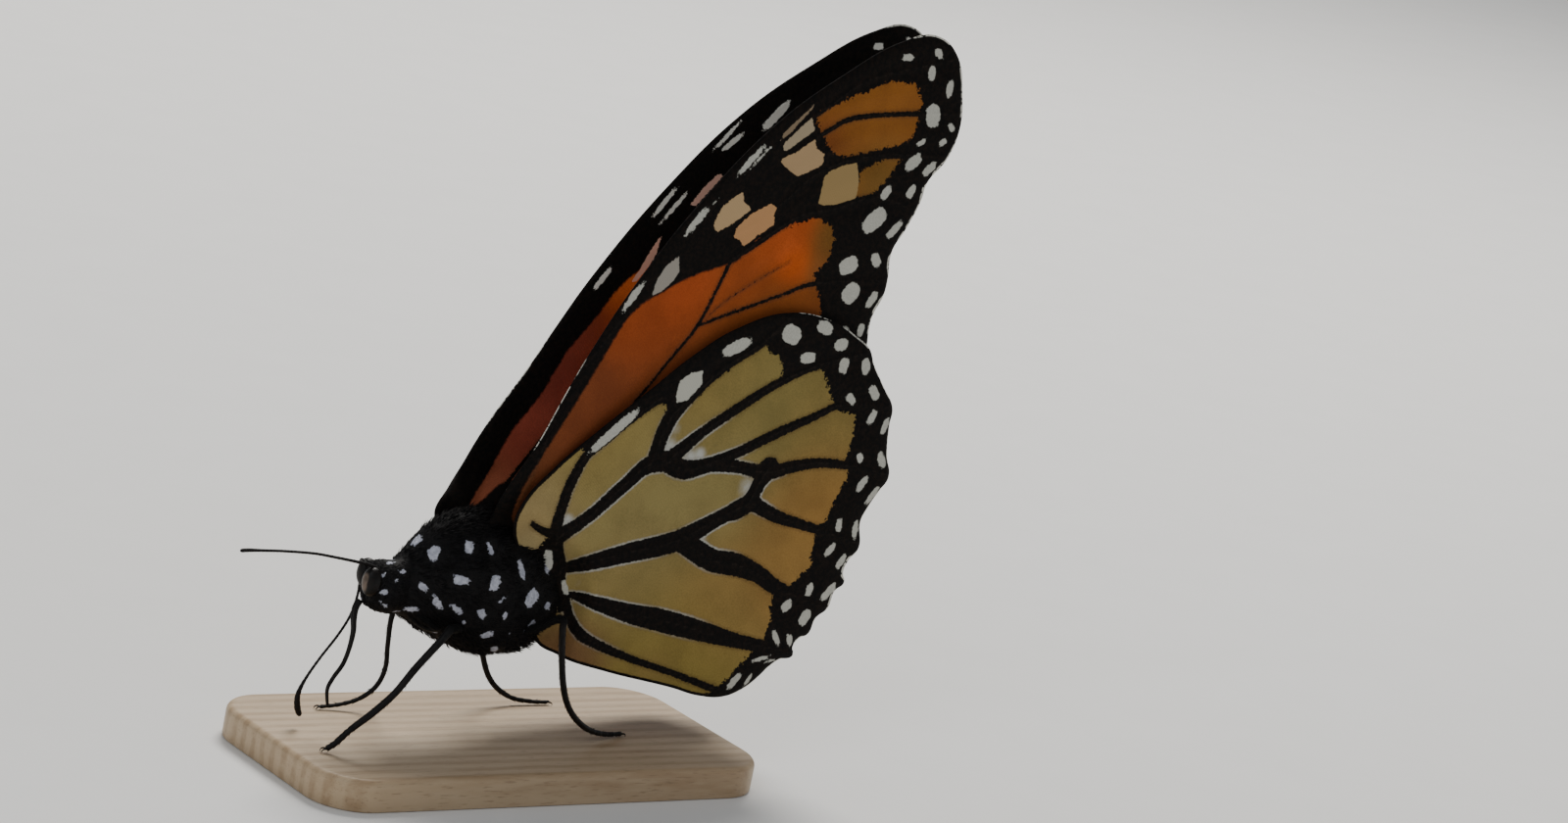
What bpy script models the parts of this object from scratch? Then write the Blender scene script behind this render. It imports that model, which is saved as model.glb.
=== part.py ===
# Monarch butterfly, life size, standing with its wings closed over its back on a low display base.
# The head points along -X, the butterfly's left side faces -Y and +Z is up.
# Sizes are millimetres here; MM turns them into metres. The underside of the base is Z = 0.
import bpy
import bmesh
import math
from mathutils import Matrix, Vector

MM = 0.001
MERGE = 0.001 * MM

BASE_LENGTH, BASE_WIDTH, BASE_HEIGHT = 40.0, 19.0, 2.5
BASE_CORNER, BASE_EDGE = 4.0, 0.5
FOOT_LEVEL = BASE_HEIGHT + 0.3

WING_THICKNESS = 0.5
WING_LEAN = 0.032           # each wing leans in by this much for each unit of height
WING_LEVEL = 18.0           # height at which the wing spacing is measured
FOREWING_SPACING = 3.10     # middle of the forewing to the midline, at WING_LEVEL
HINDWING_SPACING = 3.95

HEAD_TURN = 22.0            # degrees the face looks to the butterfly's right
HEAD_CENTRE = (-13.05, 0.0)
EYE_RADII = (0.78, 0.68, 1.15)
EYE_CENTRE = (-13.9, 1.18, 14.78)
EYE_GAP = 0.15

LEG_RADIUS = 0.31
FEELER_RADIUS = 0.25
CLUB_RADIUS = 0.36

END_DOME = 0.12             # how far a body's closed end bulges

# Body profiles: distance along X, underside height, top height, half width.
HEAD_PROFILE = [(-14.2, 13.45, 15.2, 0.55), (-13.95, 12.7, 15.85, 1.2), (-13.4, 12.2, 16.25, 1.62),
                (-12.5, 12.05, 16.35, 1.68), (-11.65, 12.2, 16.35, 1.5)]
THORAX_PROFILE = [(-11.1, 12.1, 16.9, 1.75), (-10.5, 11.55, 17.9, 2.2), (-9.3, 10.8, 19.15, 2.8),
                  (-7.2, 9.9, 20.1, 3.15), (-4.4, 8.95, 20.5, 3.35), (-1.6, 8.75, 19.6, 3.35),
                  (0.8, 9.5, 18.0, 2.95), (2.25, 11.0, 16.4, 2.1)]
ABDOMEN_PROFILE = [(2.65, 11.4, 15.8, 1.9), (4.6, 10.5, 15.4, 2.3), (8.6, 9.55, 14.6, 2.5),
                   (13.2, 8.6, 13.4, 2.4), (17.6, 7.9, 12.0, 2.05), (20.6, 7.7, 10.7, 1.45),
                   (22.4, 8.1, 9.7, 0.7)]

# Wing outlines in the plane of the wing, as X and Z, from the root along the leading edge,
# round the tip and the outer margin, and back along the inner margin.
FOREWING_OUTLINE = [(-6.9, 18.6), (-6.35, 21.2), (-5.4, 23.3), (-3.85, 26.5), (-2.05, 30.2), (0.1, 33.7),
                    (2.65, 38.0), (7.75, 45.2), (13.4, 51.4), (19.0, 55.6), (24.2, 58.6), (27.4, 59.3),
                    (29.8, 57.9), (31.0, 55.0), (31.4, 52.2), (30.7, 49.8), (29.1, 47.7), (28.9, 46.5),
                    (27.9, 44.1), (26.9, 42.2), (27.0, 40.0), (26.9, 38.8), (26.1, 36.8), (26.1, 34.0),
                    (25.2, 31.4), (23.0, 30.6), (16.0, 27.6), (8.0, 23.2), (1.5, 19.4), (-1.6, 17.6),
                    (-4.6, 17.4)]
# The hindwing's outer margin bows in between the ends of its veins.
HINDWING_OUTLINE = [(-2.2, 16.6), (-4.0, 17.9), (-4.9, 19.7), (-4.4, 21.9), (-2.2, 24.5), (1.4, 27.6),
                    (5.2, 30.6), (8.8, 33.5), (12.6, 35.8), (17.4, 37.2), (22.3, 36.5), (24.2, 35.6),
                    (25.8, 34.6), (26.5, 33.4), (28.0, 31.5), (29.2, 29.9), (29.2, 28.6), (29.5, 26.2),
                    (30.1, 24.3), (29.4, 23.2), (28.6, 21.9), (28.1, 20.7), (28.4, 18.5), (27.6, 17.5),
                    (27.3, 16.5), (27.6, 15.7), (26.8, 15.0), (26.4, 13.6), (25.4, 12.8), (24.9, 11.5),
                    (24.0, 11.1), (23.6, 10.4), (23.8, 9.8), (22.4, 9.4), (19.6, 7.2), (17.7, 6.5),
                    (15.2, 6.6), (12.4, 7.3), (5.9, 8.7), (1.2, 10.0), (-1.3, 11.2), (-1.7, 13.8)]

# Legs: points of the left leg (-Y), hip first; forelegs are the small folded pair.
MIDLEG_LEFT = [(-7.3, -3.0, 11.5), (-7.9, -3.4, 11.95), (-8.8, -4.0, 12.1), (-9.55, -4.2, 11.4),
               (-11.4, -4.2, 9.2), (-12.75, -4.15, 7.3), (-14.25, -4.0, 5.75), (-15.8, -3.75, 4.35),
               (-16.75, -3.6, 3.4), (-17.5, -3.45, 3.03)]
MIDLEG_RIGHT = [(-6.9, 3.0, 11.3), (-7.4, 3.4, 11.5), (-8.2, 4.2, 11.2), (-8.4, 4.4, 10.0),
                (-8.2, 4.5, 7.9), (-8.0, 4.55, 6.1), (-8.4, 4.7, 4.6), (-9.5, 5.0, 3.55),
                (-11.0, 5.3, 3.05), (-12.7, 5.5, 3.0)]
HINDLEG_LEFT = [(-2.8, -2.75, 9.2), (-2.5, -3.9, 9.8), (-1.5, -4.95, 11.5), (0.0, -5.1, 13.1),
                (0.6, -5.05, 12.2), (1.15, -4.95, 10.0), (1.85, -4.8, 7.9), (2.8, -4.4, 6.25),
                (4.25, -3.85, 4.8), (6.1, -3.25, 3.7), (8.15, -2.6, 3.1), (10.2, -2.1, 3.0)]
HINDLEG_RIGHT = [(-2.8, 2.75, 9.1), (-2.6, 4.0, 9.6), (-1.5, 5.1, 11.3), (-0.3, 5.45, 11.9),
                 (0.4, 5.5, 10.3), (1.4, 5.6, 6.8), (2.7, 5.6, 4.6), (4.6, 5.5, 3.4), (6.6, 5.4, 3.05),
                 (8.3, 5.3, 3.0)]
FORELEG_LEFT = [(-11.25, -1.0, 11.45), (-10.2, -1.75, 11.45), (-9.1, -2.0, 11.1), (-8.75, -1.6, 10.5),
                (-9.3, -1.15, 10.3), (-10.45, -0.72, 10.9)]

ANTENNA_LEFT = [(-14.25, -0.62, 16.32), (-16.3, -1.1, 16.5), (-20.55, -2.15, 17.4), (-24.6, -3.6, 18.1),
                (-28.4, -4.85, 18.5)]
ANTENNA_RIGHT = [(-13.8, 0.9, 16.45), (-13.55, 2.05, 16.2), (-12.9, 2.85, 14.8), (-12.75, 2.95, 12.7),
                 (-13.25, 2.8, 11.0), (-14.2, 2.5, 9.5), (-15.6, 2.1, 7.9), (-16.7, 1.9, 6.3),
                 (-17.1, 1.9, 5.1), (-16.6, 1.9, 3.4)]
PROBOSCIS = [(-14.2, 0.3, 11.45), (-14.45, 0.12, 10.5), (-14.65, 0.0, 9.3), (-14.95, 0.0, 8.1),
             (-15.6, 0.0, 7.0), (-15.9, 0.0, 6.1), (-15.6, 0.0, 4.75)]
PALP_LEFT = [(-13.95, -0.42, 12.05), (-14.45, -0.42, 12.65), (-14.72, -0.36, 13.9), (-14.72, -0.33, 14.9)]


def clear_scene():
    for item in list(bpy.data.objects):
        bpy.data.objects.remove(item, do_unlink=True)
    for group in list(bpy.data.collections):
        bpy.data.collections.remove(group)


def make_group(name, hidden=False):
    group = bpy.data.collections.new(name)
    bpy.context.scene.collection.children.link(group)
    group.hide_render = hidden
    return group


def make_material(name, colour, roughness, metallic=0.0):
    material = bpy.data.materials.new(name)
    material.use_nodes = True
    shader = material.node_tree.nodes["Principled BSDF"]
    shader.inputs["Base Color"].default_value = (*colour, 1.0)
    shader.inputs["Roughness"].default_value = roughness
    shader.inputs["Metallic"].default_value = metallic
    return material


def finish(mesh, name, group, colour, roughness=0.6, smooth=True):
    """Give a mesh its object, its material and outward faces."""
    work = bmesh.new()
    work.from_mesh(mesh)
    bmesh.ops.remove_doubles(work, verts=work.verts, dist=MERGE)
    bmesh.ops.dissolve_degenerate(work, edges=work.edges, dist=MERGE)
    bmesh.ops.recalc_face_normals(work, faces=work.faces)
    work.to_mesh(mesh)
    work.free()
    mesh.materials.clear()
    mesh.materials.append(make_material(name, colour, roughness))
    for face in mesh.polygons:
        face.use_smooth = smooth
    mesh.name = name
    item = bpy.data.objects.new(name, mesh)
    group.objects.link(item)
    return item


def turned(mesh):
    """Turn a piece of the head with the head."""
    pivot = Vector((*HEAD_CENTRE, 0.0)) * MM
    turn = Matrix.Rotation(math.radians(-HEAD_TURN), 4, "Z")
    mesh.transform(Matrix.Translation(pivot) @ turn @ Matrix.Translation(-pivot))
    return mesh


def mesh_of_curve(curve):
    """Turn a curve into a mesh and drop the curve."""
    carrier = bpy.data.objects.new("curve_carrier", curve)
    bpy.context.scene.collection.objects.link(carrier)
    bpy.context.view_layer.update()
    depsgraph = bpy.context.evaluated_depsgraph_get()
    mesh = bpy.data.meshes.new_from_object(carrier.evaluated_get(depsgraph))
    bpy.data.objects.remove(carrier, do_unlink=True)
    bpy.data.curves.remove(curve)
    return mesh


def smooth_value(table, x, column):
    """Read a profile column at x, through a curve that passes each station."""
    last = len(table) - 1
    index = 0
    while index < last - 1 and x > table[index + 1][0]:
        index += 1
    before, start = table[max(index - 1, 0)], table[index]
    end, after = table[index + 1], table[min(index + 2, last)]
    span = end[0] - start[0]
    u = min(max((x - start[0]) / span, 0.0), 1.0)
    slope_in = (end[column] - before[column]) / (end[0] - before[0]) * span
    slope_out = (after[column] - start[column]) / (after[0] - start[0]) * span
    return ((2 * u ** 3 - 3 * u ** 2 + 1) * start[column] + (u ** 3 - 2 * u ** 2 + u) * slope_in
            + (3 * u ** 2 - 2 * u ** 3) * end[column] + (u ** 3 - u ** 2) * slope_out)


def body_of_profile(profile, sides=20, rings=18, narrowing=0.0):
    """Round body along X: a sphere drawn out to the underside, top and width of its profile."""
    work = bmesh.new()
    bmesh.ops.create_uvsphere(work, u_segments=sides, v_segments=rings, radius=1.0)
    bmesh.ops.rotate(work, verts=work.verts, matrix=Matrix.Rotation(math.pi / 2, 3, "Y"))
    front, back = profile[0][0], profile[-1][0]
    for vert in work.verts:
        across = math.hypot(vert.co.y, vert.co.z)
        angle = math.acos(max(-1.0, min(1.0, -vert.co.x)))
        share = (angle / math.pi - 0.5) * 2.0
        x = front + (back - front) * (0.5 + 0.5 * share)
        low, high = smooth_value(profile, x, 1), smooth_value(profile, x, 2)
        wide = smooth_value(profile, x, 3)
        middle, tall = (low + high) / 2, (high - low) / 2
        if across < 1e-6:
            dome = math.copysign(END_DOME, share)
            vert.co = Vector((x + dome, 0.0, middle)) * MM
            continue
        side, rise = vert.co.y / across, vert.co.z / across
        slim = 1.0 - narrowing * max(rise, 0.0)
        vert.co = Vector((x, side * wide * slim, middle + rise * tall)) * MM
    mesh = bpy.data.meshes.new("body")
    work.to_mesh(mesh)
    work.free()
    return mesh


def ellipsoid(radii, centre, sides, rings):
    work = bmesh.new()
    bmesh.ops.create_uvsphere(work, u_segments=sides, v_segments=rings, radius=1.0)
    for vert in work.verts:
        vert.co = Vector([(c * r + m) * MM for c, r, m in zip(vert.co, radii, centre)])
    mesh = bpy.data.meshes.new("ellipsoid")
    work.to_mesh(mesh)
    work.free()
    return mesh


def tube(points, radii, steps=4, sides=2):
    """A smooth round tube through the points, with closed ends."""
    curve = bpy.data.curves.new("tube", "CURVE")
    curve.dimensions = "3D"
    curve.resolution_u = curve.render_resolution_u = steps
    curve.bevel_depth = MM
    curve.bevel_resolution = sides
    curve.use_fill_caps = True
    spline = curve.splines.new("BEZIER")
    spline.bezier_points.add(len(points) - 1)
    for knot, place, radius in zip(spline.bezier_points, points, radii):
        knot.co = Vector(place) * MM
        knot.radius = radius
        knot.handle_left_type = knot.handle_right_type = "AUTO"
    return mesh_of_curve(curve)


def flat_foot(mesh):
    """Cut the foot off level, so that it rests on a small flat."""
    work = bmesh.new()
    work.from_mesh(mesh)
    bmesh.ops.remove_doubles(work, verts=work.verts, dist=MERGE)
    whole = work.verts[:] + work.edges[:] + work.faces[:]
    bmesh.ops.bisect_plane(work, geom=whole, plane_co=(0, 0, FOOT_LEVEL * MM), plane_no=(0, 0, -1),
                           clear_outer=True, dist=0.01 * MM)
    rim = [edge for edge in work.edges if edge.is_boundary]
    bmesh.ops.holes_fill(work, edges=rim, sides=0)
    bmesh.ops.triangulate(work, faces=work.faces[:])
    work.to_mesh(mesh)
    work.free()


def wing(outline, spacing, side, steps):
    """A flat wing with rounded rims, stood up on its plane at one side of the body."""
    curve = bpy.data.curves.new("wing", "CURVE")
    curve.dimensions = "2D"
    curve.fill_mode = "BOTH"
    curve.resolution_u = curve.render_resolution_u = steps
    rim = WING_THICKNESS * 0.3
    curve.extrude = (WING_THICKNESS / 2 - rim) * MM
    curve.bevel_depth = rim * MM
    curve.bevel_resolution = 0
    curve.offset = -rim * MM
    spline = curve.splines.new("BEZIER")
    spline.bezier_points.add(len(outline) - 1)
    for knot, (x, z) in zip(spline.bezier_points, outline):
        knot.co = (x * MM, z * MM, 0.0)
        knot.handle_left_type = knot.handle_right_type = "AUTO"
    spline.use_cyclic_u = True
    mesh = mesh_of_curve(curve)
    for vert in mesh.vertices:
        x, z, depth = vert.co
        lean = spacing * MM - WING_LEAN * (z - WING_LEVEL * MM)
        vert.co = Vector((x, side * (lean + depth), z))
    return mesh


def add_base(group):
    work = bmesh.new()
    bmesh.ops.create_cube(work, size=1.0)
    for vert in work.verts:
        vert.co = Vector((vert.co.x * BASE_LENGTH, vert.co.y * BASE_WIDTH,
                          (vert.co.z + 0.5) * BASE_HEIGHT)) * MM
    upright = [edge for edge in work.edges
               if abs(edge.verts[0].co.z - edge.verts[1].co.z) > 0.5 * BASE_HEIGHT * MM]
    bmesh.ops.bevel(work, geom=upright, offset=BASE_CORNER * MM, segments=6, profile=0.5,
                    affect="EDGES", material=-1)
    top_rim = [edge for edge in work.edges if all(v.co.z > 0.99 * BASE_HEIGHT * MM for v in edge.verts)]
    bmesh.ops.bevel(work, geom=top_rim, offset=BASE_EDGE * MM, segments=2, profile=0.5,
                    affect="EDGES", material=-1)
    mesh = bpy.data.meshes.new("stand_base")
    work.to_mesh(mesh)
    work.free()
    finish(mesh, "stand_base", group, (0.62, 0.55, 0.45), 0.5, smooth=False)


def add_head(group, cutters):
    head = finish(turned(body_of_profile(HEAD_PROFILE, 18, 12)), "head", group, (0.012, 0.012, 0.014), 0.7)
    for name, side in (("left", -1), ("right", 1)):
        centre = (EYE_CENTRE[0], side * EYE_CENTRE[1], EYE_CENTRE[2])
        grown = [radius + EYE_GAP for radius in EYE_RADII]
        cutter = finish(turned(ellipsoid(grown, centre, 14, 10)), "socket_" + name, cutters, (0.5,) * 3)
        cutter.hide_render = True
        cutter.display_type = "WIRE"
        hollow = head.modifiers.new("socket_" + name, "BOOLEAN")
        hollow.operation = "DIFFERENCE"
        hollow.solver = "EXACT"
        hollow.object = cutter
        finish(turned(ellipsoid(EYE_RADII, centre, 14, 10)), "eye_" + name, group, (0.02, 0.017, 0.015),
               0.2)


def add_body(group):
    black = (0.012, 0.012, 0.014)
    finish(body_of_profile(THORAX_PROFILE, 22, 18, narrowing=0.14), "thorax", group, black, 0.75)
    finish(body_of_profile(ABDOMEN_PROFILE, 18, 16), "abdomen", group, black, 0.7)


def mirrored(points):
    return [(x, -y, z) for x, y, z in points]


def add_legs(group):
    black = (0.015, 0.013, 0.012)
    legs = {"midleg_left": MIDLEG_LEFT, "midleg_right": MIDLEG_RIGHT,
            "hindleg_left": HINDLEG_LEFT, "hindleg_right": HINDLEG_RIGHT}
    for name, points in legs.items():
        count = len(points)
        radii = [LEG_RADIUS * (1.15 - 0.3 * step / (count - 1)) for step in range(count)]
        mesh = tube(points, radii, 2)
        flat_foot(mesh)
        finish(mesh, name, group, black, 0.5)
    for name, points in (("foreleg_left", FORELEG_LEFT), ("foreleg_right", mirrored(FORELEG_LEFT))):
        finish(tube(points, [0.34, 0.34, 0.31, 0.29, 0.27, 0.25], 3), name, group, black, 0.6)


def add_feelers(group):
    black = (0.012, 0.011, 0.011)
    for name, points in (("antenna_left", ANTENNA_LEFT), ("antenna_right", ANTENNA_RIGHT)):
        count = len(points)
        radii = [FEELER_RADIUS] * (count - 2) + [(FEELER_RADIUS + CLUB_RADIUS) / 2, CLUB_RADIUS]
        finish(tube(points, radii, 3), name, group, black, 0.45)
    finish(tube(PROBOSCIS, [0.28, 0.28, 0.27, 0.27, 0.26, 0.25, 0.25], 3), "proboscis", group, black, 0.4)
    for name, points in (("palp_left", PALP_LEFT), ("palp_right", mirrored(PALP_LEFT))):
        finish(turned(tube(points, [0.27, 0.28, 0.26, 0.25])), name, group, black, 0.7)


def add_wings(group):
    orange, tan = (0.55, 0.16, 0.02), (0.42, 0.3, 0.12)
    for name, side in (("left", -1), ("right", 1)):
        finish(wing(FOREWING_OUTLINE, FOREWING_SPACING, side, 3), "forewing_" + name, group, orange,
               0.55, smooth=False)
        finish(wing(HINDWING_OUTLINE, HINDWING_SPACING, side, 3), "hindwing_" + name, group, tan,
               0.55, smooth=False)


def build():
    clear_scene()
    group = make_group("monarch_butterfly")
    cutters = make_group("cutters", hidden=True)
    add_base(group)
    add_head(group, cutters)
    add_body(group)
    add_feelers(group)
    add_legs(group)
    add_wings(group)


build()
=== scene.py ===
# Monarch butterfly at rest on a small wooden base: finishes, markings, coat and studio.
# The butterfly's head points along -X, its left side faces -Y, +Z is up. Sizes below are in mm.
from math import ceil, cos, hypot, pi, radians, sin, sqrt, tau

import bmesh
import bpy
import numpy as np
from mathutils import Euler, Matrix, Vector
from mathutils.bvhtree import BVHTree
from mathutils.kdtree import KDTree


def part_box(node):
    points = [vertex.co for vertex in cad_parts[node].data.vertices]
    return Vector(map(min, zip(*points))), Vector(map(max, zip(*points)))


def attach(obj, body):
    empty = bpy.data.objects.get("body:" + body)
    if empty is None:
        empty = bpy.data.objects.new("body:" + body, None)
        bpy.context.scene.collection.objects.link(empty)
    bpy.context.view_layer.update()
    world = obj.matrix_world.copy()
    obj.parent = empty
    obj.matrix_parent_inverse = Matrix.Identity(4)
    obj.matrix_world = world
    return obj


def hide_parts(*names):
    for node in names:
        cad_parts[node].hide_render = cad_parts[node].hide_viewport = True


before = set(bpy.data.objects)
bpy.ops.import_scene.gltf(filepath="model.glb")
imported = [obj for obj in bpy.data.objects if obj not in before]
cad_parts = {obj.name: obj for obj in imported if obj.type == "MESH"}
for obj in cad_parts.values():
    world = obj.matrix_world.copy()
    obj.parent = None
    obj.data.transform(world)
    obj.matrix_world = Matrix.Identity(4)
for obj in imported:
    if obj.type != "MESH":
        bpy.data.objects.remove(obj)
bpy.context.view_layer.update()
mm = 0.001
farAway = 99.0  # farther than anything on the butterfly
scene = bpy.context.scene
print("frame loaded:", sorted(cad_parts))


class Wire:  # one socket, so that sums on it read as sums
    def __init__(self, look, socket):
        self.look = look
        self.socket = socket

    def __add__(self, other):
        return self.look.maths("ADD", self, other)

    def __sub__(self, other):
        return self.look.maths("SUBTRACT", self, other)

    def __rsub__(self, other):
        return self.look.maths("SUBTRACT", other, self)

    def __mul__(self, other):
        return self.look.maths("MULTIPLY", self, other)

    def __truediv__(self, other):
        return self.look.maths("DIVIDE", self, other)

    __radd__ = __add__
    __rmul__ = __mul__


class Look:  # a material that is built up node by node
    def __init__(self, name):
        self.material = bpy.data.materials.new(name)
        self.material.use_nodes = True
        self.tree = self.material.node_tree
        self.shader = self.tree.nodes["Principled BSDF"]

    def node(self, kind, settings=None, inputs=None, out=0):
        made = self.tree.nodes.new("ShaderNode" + kind)
        for key, value in (settings or {}).items():
            setattr(made, key, value)
        for key, value in (inputs or {}).items():
            self.feed(made.inputs[key], value)
        return Wire(self, made.outputs[out])

    def feed(self, socket, value):
        if isinstance(value, Wire):
            self.tree.links.new(value.socket, socket)
        elif isinstance(value, tuple) and socket.type == "RGBA":
            socket.default_value = (*value, 1.0)
        else:
            socket.default_value = value

    def maths(self, kind, first, second):
        return self.node("Math", {"operation": kind}, {0: first, 1: second})

    def place(self, x=1.0, y=1.0, z=1.0):  # Object coordinates in mm, stretched
        spot = self.node("TexCoord", out=3)
        return self.node("Mapping", None, {"Vector": spot, "Scale": (x / mm, y / mm, z / mm)})

    def speckle(self, place, scale, detail=2.0, roughness=0.5):
        return self.node("TexNoise", None, {"Vector": place, "Scale": scale, "Detail": detail,
                                            "Roughness": roughness})

    def mark(self, name, out=2):  # a number kept on the mesh's points, or a colour with out=0
        return self.node("Attribute", {"attribute_name": name}, out=out)

    def mix(self, share, first, second, way="MIX"):
        return self.node("Mix", {"data_type": "RGBA", "blend_type": way}, {0: share, 6: first, 7: second}, 2)

    def ease(self, value, low, high, start=0.0, end=1.0):
        return self.node("MapRange", {"interpolation_type": "SMOOTHSTEP"},
                         {0: value, 1: low, 2: high, 3: start, 4: end})

    def within(self, field, soft=0.03):  # 1 inside a marking and 0 outside it
        return 1.0 - self.ease(field, -soft, soft)

    def bump(self, height, depth, strength):
        return self.node("Bump", None, {"Height": height, "Distance": depth * mm, "Strength": strength})

    def wear(self, **values):
        for socket, value in values.items():
            self.feed(self.shader.inputs[socket.replace("_", " ")], value)
        return self.material


def smoothPath(knots, steps):  # a flowing line through rows of numbers
    rows = np.array(knots, float)
    padded = np.vstack([2 * rows[0] - rows[1], rows, 2 * rows[-1] - rows[-2]])
    line = []
    for a, b, c, d in zip(padded, padded[1:], padded[2:], padded[3:]):
        for t in np.linspace(0.0, 1.0, steps, endpoint=False):
            line.append(0.5 * (2 * b + (c - a) * t + (2 * a - 5 * b + 4 * c - d) * t * t
                               + (3 * b - a - 3 * c + d) * t ** 3))
    line.append(rows[-1])
    return np.array(line)


def reachAlong(line):  # how far along the line each of its points lies
    steps = np.linalg.norm(np.diff(line[:, :3], axis=0), axis=1)
    return np.concatenate([[0.0], np.cumsum(steps)])


def awayFrom(points, x, z):
    return np.hypot(points[:, 0] - x, points[:, 1] - z)


def pathField(points, path):  # distance to the dark edge of a line, and to its middle
    dark = np.full(len(points), farAway)
    near = dark.copy()
    for start, end in zip(path, path[1:]):
        along = end[:2] - start[:2]
        share = np.clip((points - start[:2]) @ along / max(along @ along, 1e-9), 0.0, 1.0)
        away = np.linalg.norm(points - start[:2] - share[:, None] * along, axis=1)
        near = np.minimum(near, away)
        dark = np.minimum(dark, away - (start[2] + (end[2] - start[2]) * share))
    return dark, near


def insideOf(points, corners):
    inside = np.zeros(len(points), bool)
    px, pz = points[:, 0], points[:, 1]
    for (ax, az), (bx, bz) in zip(corners, np.roll(corners, -1, axis=0)):
        crosses = (az > pz) != (bz > pz)
        if crosses.any():
            inside ^= crosses & (px < (bx - ax) * (pz - az) / (bz - az + 1e-12) + ax)
    return inside


def areaField(points, corners):  # signed distance to the rim of an area, below 0 inside
    ring = np.array(corners, float)
    closed = np.column_stack([np.vstack([ring, ring[:1]]), np.zeros(len(ring) + 1)])
    away = pathField(points, closed)[1]
    return np.where(insideOf(points, ring), -away, away)


def spotField(points, spots):  # each spot: both ends of its long axis and its half width
    field = np.full(len(points), farAway)
    boxy = 2.7  # 2 would be an ellipse
    for spot in spots:
        count = (len(spot) - 1) // 2
        start, end, wide = np.array(spot[:count]), np.array(spot[count:-1]), spot[-1]
        middle, along = (start + end) / 2, end - start
        reach = max(np.linalg.norm(along) / 2, wide * 0.6)
        along = along / max(np.linalg.norm(along), 1e-9)
        apart = points - middle
        lengthways = apart @ along
        across = np.linalg.norm(apart - lengthways[:, None] * along, axis=1)
        boxed = (np.abs(lengthways / reach) ** boxy + (across / wide) ** boxy) ** (1 / boxy)
        field = np.minimum(field, (boxed - 1) * wide)
    return field


def glowField(points, rows):  # the strongest of some soft round patches
    field = np.zeros(len(points))
    for x, z, reach, strength in rows:
        field = np.maximum(field, strength * np.exp(-(awayFrom(points, x, z) / reach) ** 2))
    return field


def ramp(values, low, high):
    share = np.clip((values - low) / (high - low), 0.0, 1.0)
    return share * share * (3 - 2 * share)


def blendTones(points, tones):  # soft mix of tones, each with a middle and a reach
    total, weight = np.zeros((len(points), 3)), np.zeros(len(points))
    for x, z, reach, tone in tones:
        pull = np.exp(-(awayFrom(points, x, z) / reach) ** 2) + 1e-9
        total += pull[:, None] * np.array(tone)
        weight += pull
    return total / weight[:, None]


def setMark(mesh, name, values):  # one number or one colour for each point
    if values.ndim > 1:
        rows = np.column_stack([values, np.ones(len(values))]).astype(np.float32)
        mesh.attributes.new(name, "FLOAT_COLOR", "POINT").data.foreach_set("color", rows.ravel())
    else:
        mesh.attributes.new(name, "FLOAT", "POINT").data.foreach_set("value", values.astype(np.float32))


def unwrap(mesh, rows):
    mesh.uv_layers.new(name="OFBake").data.foreach_set("uv", rows.astype(np.float32).ravel())


def readOut(items, key, kind=np.int32, width=1):  # one property of every item, as an array
    values = np.zeros(len(items) * width, kind)
    items.foreach_get(key, values)
    return values.astype(float).reshape(-1, width) if width > 1 else values


def pointsOf(mesh):
    return readOut(mesh.vertices, "co", np.float32, 3) / mm


def meshOf(work, name):
    mesh = bpy.data.meshes.new(name)
    work.to_mesh(mesh)
    work.free()
    return mesh


def settle(mesh, look, slot, *replaced):  # a finished piece; the butterfly has one body, root
    mesh.materials.append(look)
    mesh.shade_smooth()
    piece = bpy.data.objects.new(mesh.name, mesh)
    scene.collection.objects.link(piece)
    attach(piece, "root")
    if replaced:
        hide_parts(*replaced)
    return mesh


def rolledGrid(columns, rows, place):  # a grid rolled round a form; u runs round, v runs along
    work = bmesh.new()
    bmesh.ops.create_grid(work, x_segments=columns, y_segments=rows, size=0.5)
    layer = work.loops.layers.uv.new("OFBake")
    for face in work.faces:
        for loop in face.loops:
            loop[layer].uv = (loop.vert.co.x + 0.5, loop.vert.co.y + 0.5)
    for vert in work.verts:
        vert.co = place(vert.co.x + 0.5, vert.co.y + 0.5) * mm
    bmesh.ops.remove_doubles(work, verts=work.verts, dist=0.002 * mm)
    bmesh.ops.dissolve_degenerate(work, edges=work.edges, dist=0.0005 * mm)
    bmesh.ops.recalc_face_normals(work, faces=work.faces)
    return work


def lineFrames(line):  # directions along and across a line, carried on without twist
    ahead = np.gradient(line, axis=0)
    ahead /= np.linalg.norm(ahead, axis=1)[:, None]
    across = np.cross(ahead[0], (0.13, 0.97, 0.21))  # no limb starts along this direction
    sides = []
    for step in ahead:
        across = across - step * (across @ step)
        across /= np.linalg.norm(across)
        sides.append(across)
    sides = np.array(sides)
    return ahead, sides, np.cross(ahead, sides)


def tubeAlong(knots, sides, spacing, shape=None):
    # a limb through rows of x, y, z, radius; shape(along, whole) swells or thins it
    line = smoothPath(knots, 12)
    reach = reachAlong(line)
    whole = reach[-1]
    count = int(ceil(whole / spacing))
    at = np.linspace(0.0, whole, count + 1)
    line = np.column_stack([np.interp(at, reach, line[:, column]) for column in range(4)])
    side, up = lineFrames(line[:, :3])[1:]

    def place(u, v):
        index = int(round(v * count))
        angle, radius = tau * u, line[index, 3]
        end = min(at[index], whole - at[index]) / max(0.8 * radius, 1e-6)
        if end < 1.0:  # both ends are domed
            radius *= sqrt(max(0.0, 1.0 - (1.0 - end) ** 2))
        if shape:
            radius *= shape(at[index], whole)
        return Vector(line[index, :3] + radius * (cos(angle) * side[index] + sin(angle) * up[index]))
    return rolledGrid(sides, count, place)


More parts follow.
